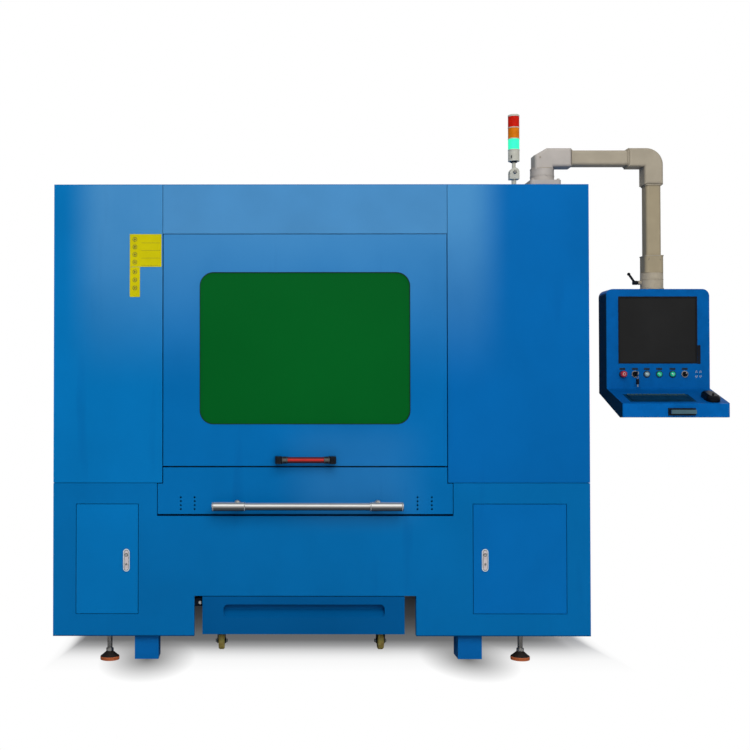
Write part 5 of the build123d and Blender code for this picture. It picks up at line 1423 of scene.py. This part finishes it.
class FloorShadow:
    """Where on the floor the machine's shadow lies."""

    OUTSIDE = -0.16
    REACH = 1.7
    # How white the floor is at a depth under the cabinet
    DEPTH_SHARES = ((0.04, 0.92), (0.13, 0.80), (0.22, 0.60), (0.31, 0.34), (0.42, 0.15), (0.53, 0.13),
                    (0.70, 0.08), (0.95, 0.04), (1.40, 0.01))
    SIDE_STEEPNESS = 6.5
    RIGHT_DRIFT = 0.12
    REAR_STEEPNESS = 8.0
    LEG_OFFSETS = (-0.735, 0.625)
    LEG_SETBACK = 0.06
    LEG_REACH = (0.205, 0.38)
    LEG_DARKNESS = 0.82

    @classmethod
    def depth_inside(cls, made):
        """How far a floor point lies inside the cabinet's outline; all sides but the front are steeper."""
        x = made.axis("X")
        y = made.axis("Y")
        left = made.times(made.plus(x, -ROOF_LO.x), cls.SIDE_STEEPNESS)
        right = made.times(made.math("SUBTRACT", ROOF_HI.x + cls.RIGHT_DRIFT, x), cls.SIDE_STEEPNESS)
        rear = made.times(made.math("SUBTRACT", ROOF_HI.y, y), cls.REAR_STEEPNESS)
        front = made.plus(y, -ROOF_LO.y)
        return made.math("MINIMUM", made.math("MINIMUM", left, right), made.math("MINIMUM", front, rear))

    @classmethod
    def legs(cls, made):
        """A painted shadow: the soft dark pool round each front leg."""
        pools = []
        for offset in cls.LEG_OFFSETS:
            centre = (CABINET_X + offset, FRONT_Y + cls.LEG_SETBACK)
            across, along = (made.math("DIVIDE", made.plus(made.axis(axis), -place), reach)
                             for axis, place, reach in zip("XY", centre, cls.LEG_REACH))
            distance = made.math("SQRT", made.square_sum(across, along))
            pools.append(made.math("MAXIMUM", made.math("SUBTRACT", 1.0, distance), 0.0))
        return made.times(made.math("MAXIMUM", *pools), cls.LEG_DARKNESS)


class LASER_OT_stage(bpy.types.Operator):
    """Floor, even light and the camera at the photograph's place"""

    bl_idname = "laser.stage"
    bl_label = "Stage"

    WHITE = (1, 1, 1, 1)
    PHOTO_SIZE = 750
    FLOOR_HALF = 40.0
    # The room's tone low down and high up, at a place from 0 (straight down) to 1 (straight up)
    ROOM_TONES = ((0.42, (0.55, 0.56, 0.58, 1)), (0.66, WHITE))
    # Share of the room light from the left and from the right
    ROOM_SIDES = (0.45, 1.25)
    # Lamps: name, place from the cabinet's front at 1 m, size and share of the key lamp's power
    LAMPS = (("key_lamp", (0.2, -4.4, 2.6), 3.6, 1.0), ("top_lamp", (0.4, 1.2, 4.2), 4.0, 0.5))

    def execute(self, context):
        settings = context.scene.laser_stage
        self.floor()
        self.world(context.scene, settings)
        self.lamps(settings)
        self.camera(context.scene, settings)
        context.scene.view_settings.view_transform = "Standard"
        return {"FINISHED"}

    def floor(self):
        """A pale floor that keeps the real shadow near the machine, with a painted shadow round the front legs,
        and is white further off.
        """
        mesh = bmesh.new()
        for x, y in ((-1, -1), (1, -1), (1, 1), (-1, 1)):
            mesh.verts.new((x * self.FLOOR_HALF, y * self.FLOOR_HALF, 0))
        mesh.faces.new(mesh.verts)
        data = bpy.data.meshes.new("pale_floor")
        mesh.to_mesh(data)
        mesh.free()
        floor = bpy.data.objects.new("pale_floor", data)
        bpy.context.scene.collection.objects.link(floor)
        made = Coat("pale_floor")
        fill(made.tree, made.shader, {
            "Base Color": (0.55, 0.55, 0.55, 1), "Roughness": 0.85, "Specular IOR Level": 0.05})
        seen = made.add("LightPath").outputs["Is Camera Ray"]
        inside = made.plus(FloorShadow.depth_inside(made), -FloorShadow.OUTSIDE)
        fade = made.add("ValToRGB", {"Fac": made.math("DIVIDE", inside, FloorShadow.REACH)})
        ramp = fade.color_ramp
        ramp.elements[0].color = self.WHITE
        ramp.elements[1].color = (0, 0, 0, 1)
        for depth, share in FloorShadow.DEPTH_SHARES:
            stop = ramp.elements.new((depth - FloorShadow.OUTSIDE) / FloorShadow.REACH)
            stop.color = (share, share, share, 1)
        white = made.add("Emission", {"Color": self.WHITE})
        dark = made.add("Emission", {"Strength": 0.0})
        lit = made.add("MixShader", {"Fac": made.times(fade.outputs["Color"], seen),
                                     1: made.shader.outputs["BSDF"], 2: white.outputs["Emission"]})
        contact = made.add("MixShader", {"Fac": made.times(FloorShadow.legs(made), seen),
                                         1: lit.outputs["Shader"], 2: dark.outputs["Emission"]})
        fill(made.tree, made.tree.nodes["Material Output"], {"Surface": contact.outputs["Shader"]})
        data.materials.append(made.material)

    def world(self, scene, settings):
        """Even light, brighter from above and the right, and white where the camera sees it."""
        world = bpy.data.worlds.new("studio")
        scene.world = world
        world.use_nodes = True
        tree = world.node_tree
        where = add_node(tree, "TexCoord").outputs["Generated"]
        split = add_node(tree, "SeparateXYZ", {"Vector": where})
        height = add_node(tree, "MapRange", {"Value": split.outputs["Z"], "From Min": -1.0})
        tone = add_node(tree, "ValToRGB", {"Fac": height.outputs["Result"]})
        for element, (place, colour) in zip(tone.color_ramp.elements, self.ROOM_TONES):
            element.position = place
            element.color = colour
        left, right = (settings.world_light * share for share in self.ROOM_SIDES)
        side = add_node(tree, "MapRange", {
            "Value": split.outputs["X"], "From Min": -1.0, "To Min": left, "To Max": right})
        room = tree.nodes["Background"]
        fill(tree, room, {"Color": tone.outputs["Color"], "Strength": side.outputs["Result"]})
        white = add_node(tree, "Background", {"Color": self.WHITE, "Strength": 1.0})
        seen = add_node(tree, "LightPath").outputs["Is Camera Ray"]
        mix = add_node(tree, "MixShader", {
            "Fac": seen, 1: room.outputs["Background"], 2: white.outputs["Background"]})
        fill(tree, tree.nodes["World Output"], {"Surface": mix.outputs["Shader"]})

    def lamps(self, settings):
        """A large lamp in front and above, and a weaker one over the roof."""
        aim = Vector((CABINET_X, FRONT_Y, 1.0))
        for name, place, size, share in self.LAMPS:
            lamp = bpy.data.lights.new(name, "AREA")
            lamp.shape = "SQUARE"
            lamp.size = size
            lamp.energy = settings.key_power * share
            holder = bpy.data.objects.new(name, lamp)
            bpy.context.scene.collection.objects.link(holder)
            offset = Vector(place)
            holder.location = aim + offset
            holder.visible_glossy = False
            holder.rotation_euler = (-offset).to_track_quat("-Z", "Y").to_euler()

    def camera(self, scene, settings):
        """The photograph's camera: an off-centre crop, so its lens is shifted."""
        data = bpy.data.cameras.new("photo_camera")
        data.sensor_width = 36.0
        data.lens = settings.focal_pixels / self.PHOTO_SIZE * data.sensor_width
        data.shift_x = (self.PHOTO_SIZE / 2 - settings.centre_pixel) / self.PHOTO_SIZE
        data.clip_end = 200.0
        camera = bpy.data.objects.new("photo_camera", data)
        scene.collection.objects.link(camera)
        camera.location = (CABINET_X - settings.camera_side, FRONT_Y - settings.camera_distance,
                           settings.camera_height)
        camera.rotation_euler = (math.pi / 2 + settings.pitch, 0.0, settings.turn)
        scene.camera = camera


PIECE_OPERATORS = (
    LASER_OT_finishes,
    LASER_OT_window_trim,
    LASER_OT_door_fittings,
    LASER_OT_bar_fittings,
    LASER_OT_lock_fittings,
    LASER_OT_foot_fittings,
    LASER_OT_caster_fittings,
    LASER_OT_arm_fittings,
    LASER_OT_console_face,
    LASER_OT_controls,
    LASER_OT_keyboard,
    LASER_OT_tower_fittings,
    LASER_OT_guide_roller,
    LASER_OT_label,
    LASER_OT_panel_screws,
    LASER_OT_head_fittings,
    LASER_OT_stage,
)


class LASER_PT_panel(bpy.types.Panel):
    """Steps that dress the laser cutting machine"""

    bl_idname = "LASER_PT_panel"
    bl_label = "Laser Cutter"
    bl_space_type = "VIEW_3D"
    bl_region_type = "UI"
    bl_category = "Laser Cutter"

    def draw(self, context):
        layout = self.layout
        for group in (context.scene.laser_finish, context.scene.laser_fitting, context.scene.laser_stage):
            box = layout.box()
            for name in group.__annotations__:
                box.prop(group, name)
        for operator in PIECE_OPERATORS:
            layout.operator(operator.bl_idname)


SETTINGS = (
    ("laser_finish", FinishSettings),
    ("laser_fitting", FittingSettings),
    ("laser_stage", StageSettings),
)


def register():
    for name, group in SETTINGS:
        bpy.utils.register_class(group)
        setattr(bpy.types.Scene, name, bpy.props.PointerProperty(type=group))
    for operator in PIECE_OPERATORS:
        bpy.utils.register_class(operator)
    bpy.utils.register_class(LASER_PT_panel)


def unregister():
    bpy.utils.unregister_class(LASER_PT_panel)
    for operator in reversed(PIECE_OPERATORS):
        bpy.utils.unregister_class(operator)
    for name, group in reversed(SETTINGS):
        delattr(bpy.types.Scene, name)
        bpy.utils.unregister_class(group)


def main():
    """Dress the machine."""
    register()
    bpy.ops.laser.finishes()
    bpy.ops.laser.window_trim()
    bpy.ops.laser.door_fittings()
    bpy.ops.laser.bar_fittings()
    bpy.ops.laser.lock_fittings()
    bpy.ops.laser.foot_fittings()
    bpy.ops.laser.caster_fittings()
    bpy.ops.laser.arm_fittings()
    bpy.ops.laser.console_face()
    bpy.ops.laser.controls()
    bpy.ops.laser.keyboard()
    bpy.ops.laser.tower_fittings()
    bpy.ops.laser.guide_roller()
    bpy.ops.laser.label()
    bpy.ops.laser.panel_screws()
    bpy.ops.laser.head_fittings()
    bpy.ops.laser.stage()


if __name__ == "__main__":
    main()
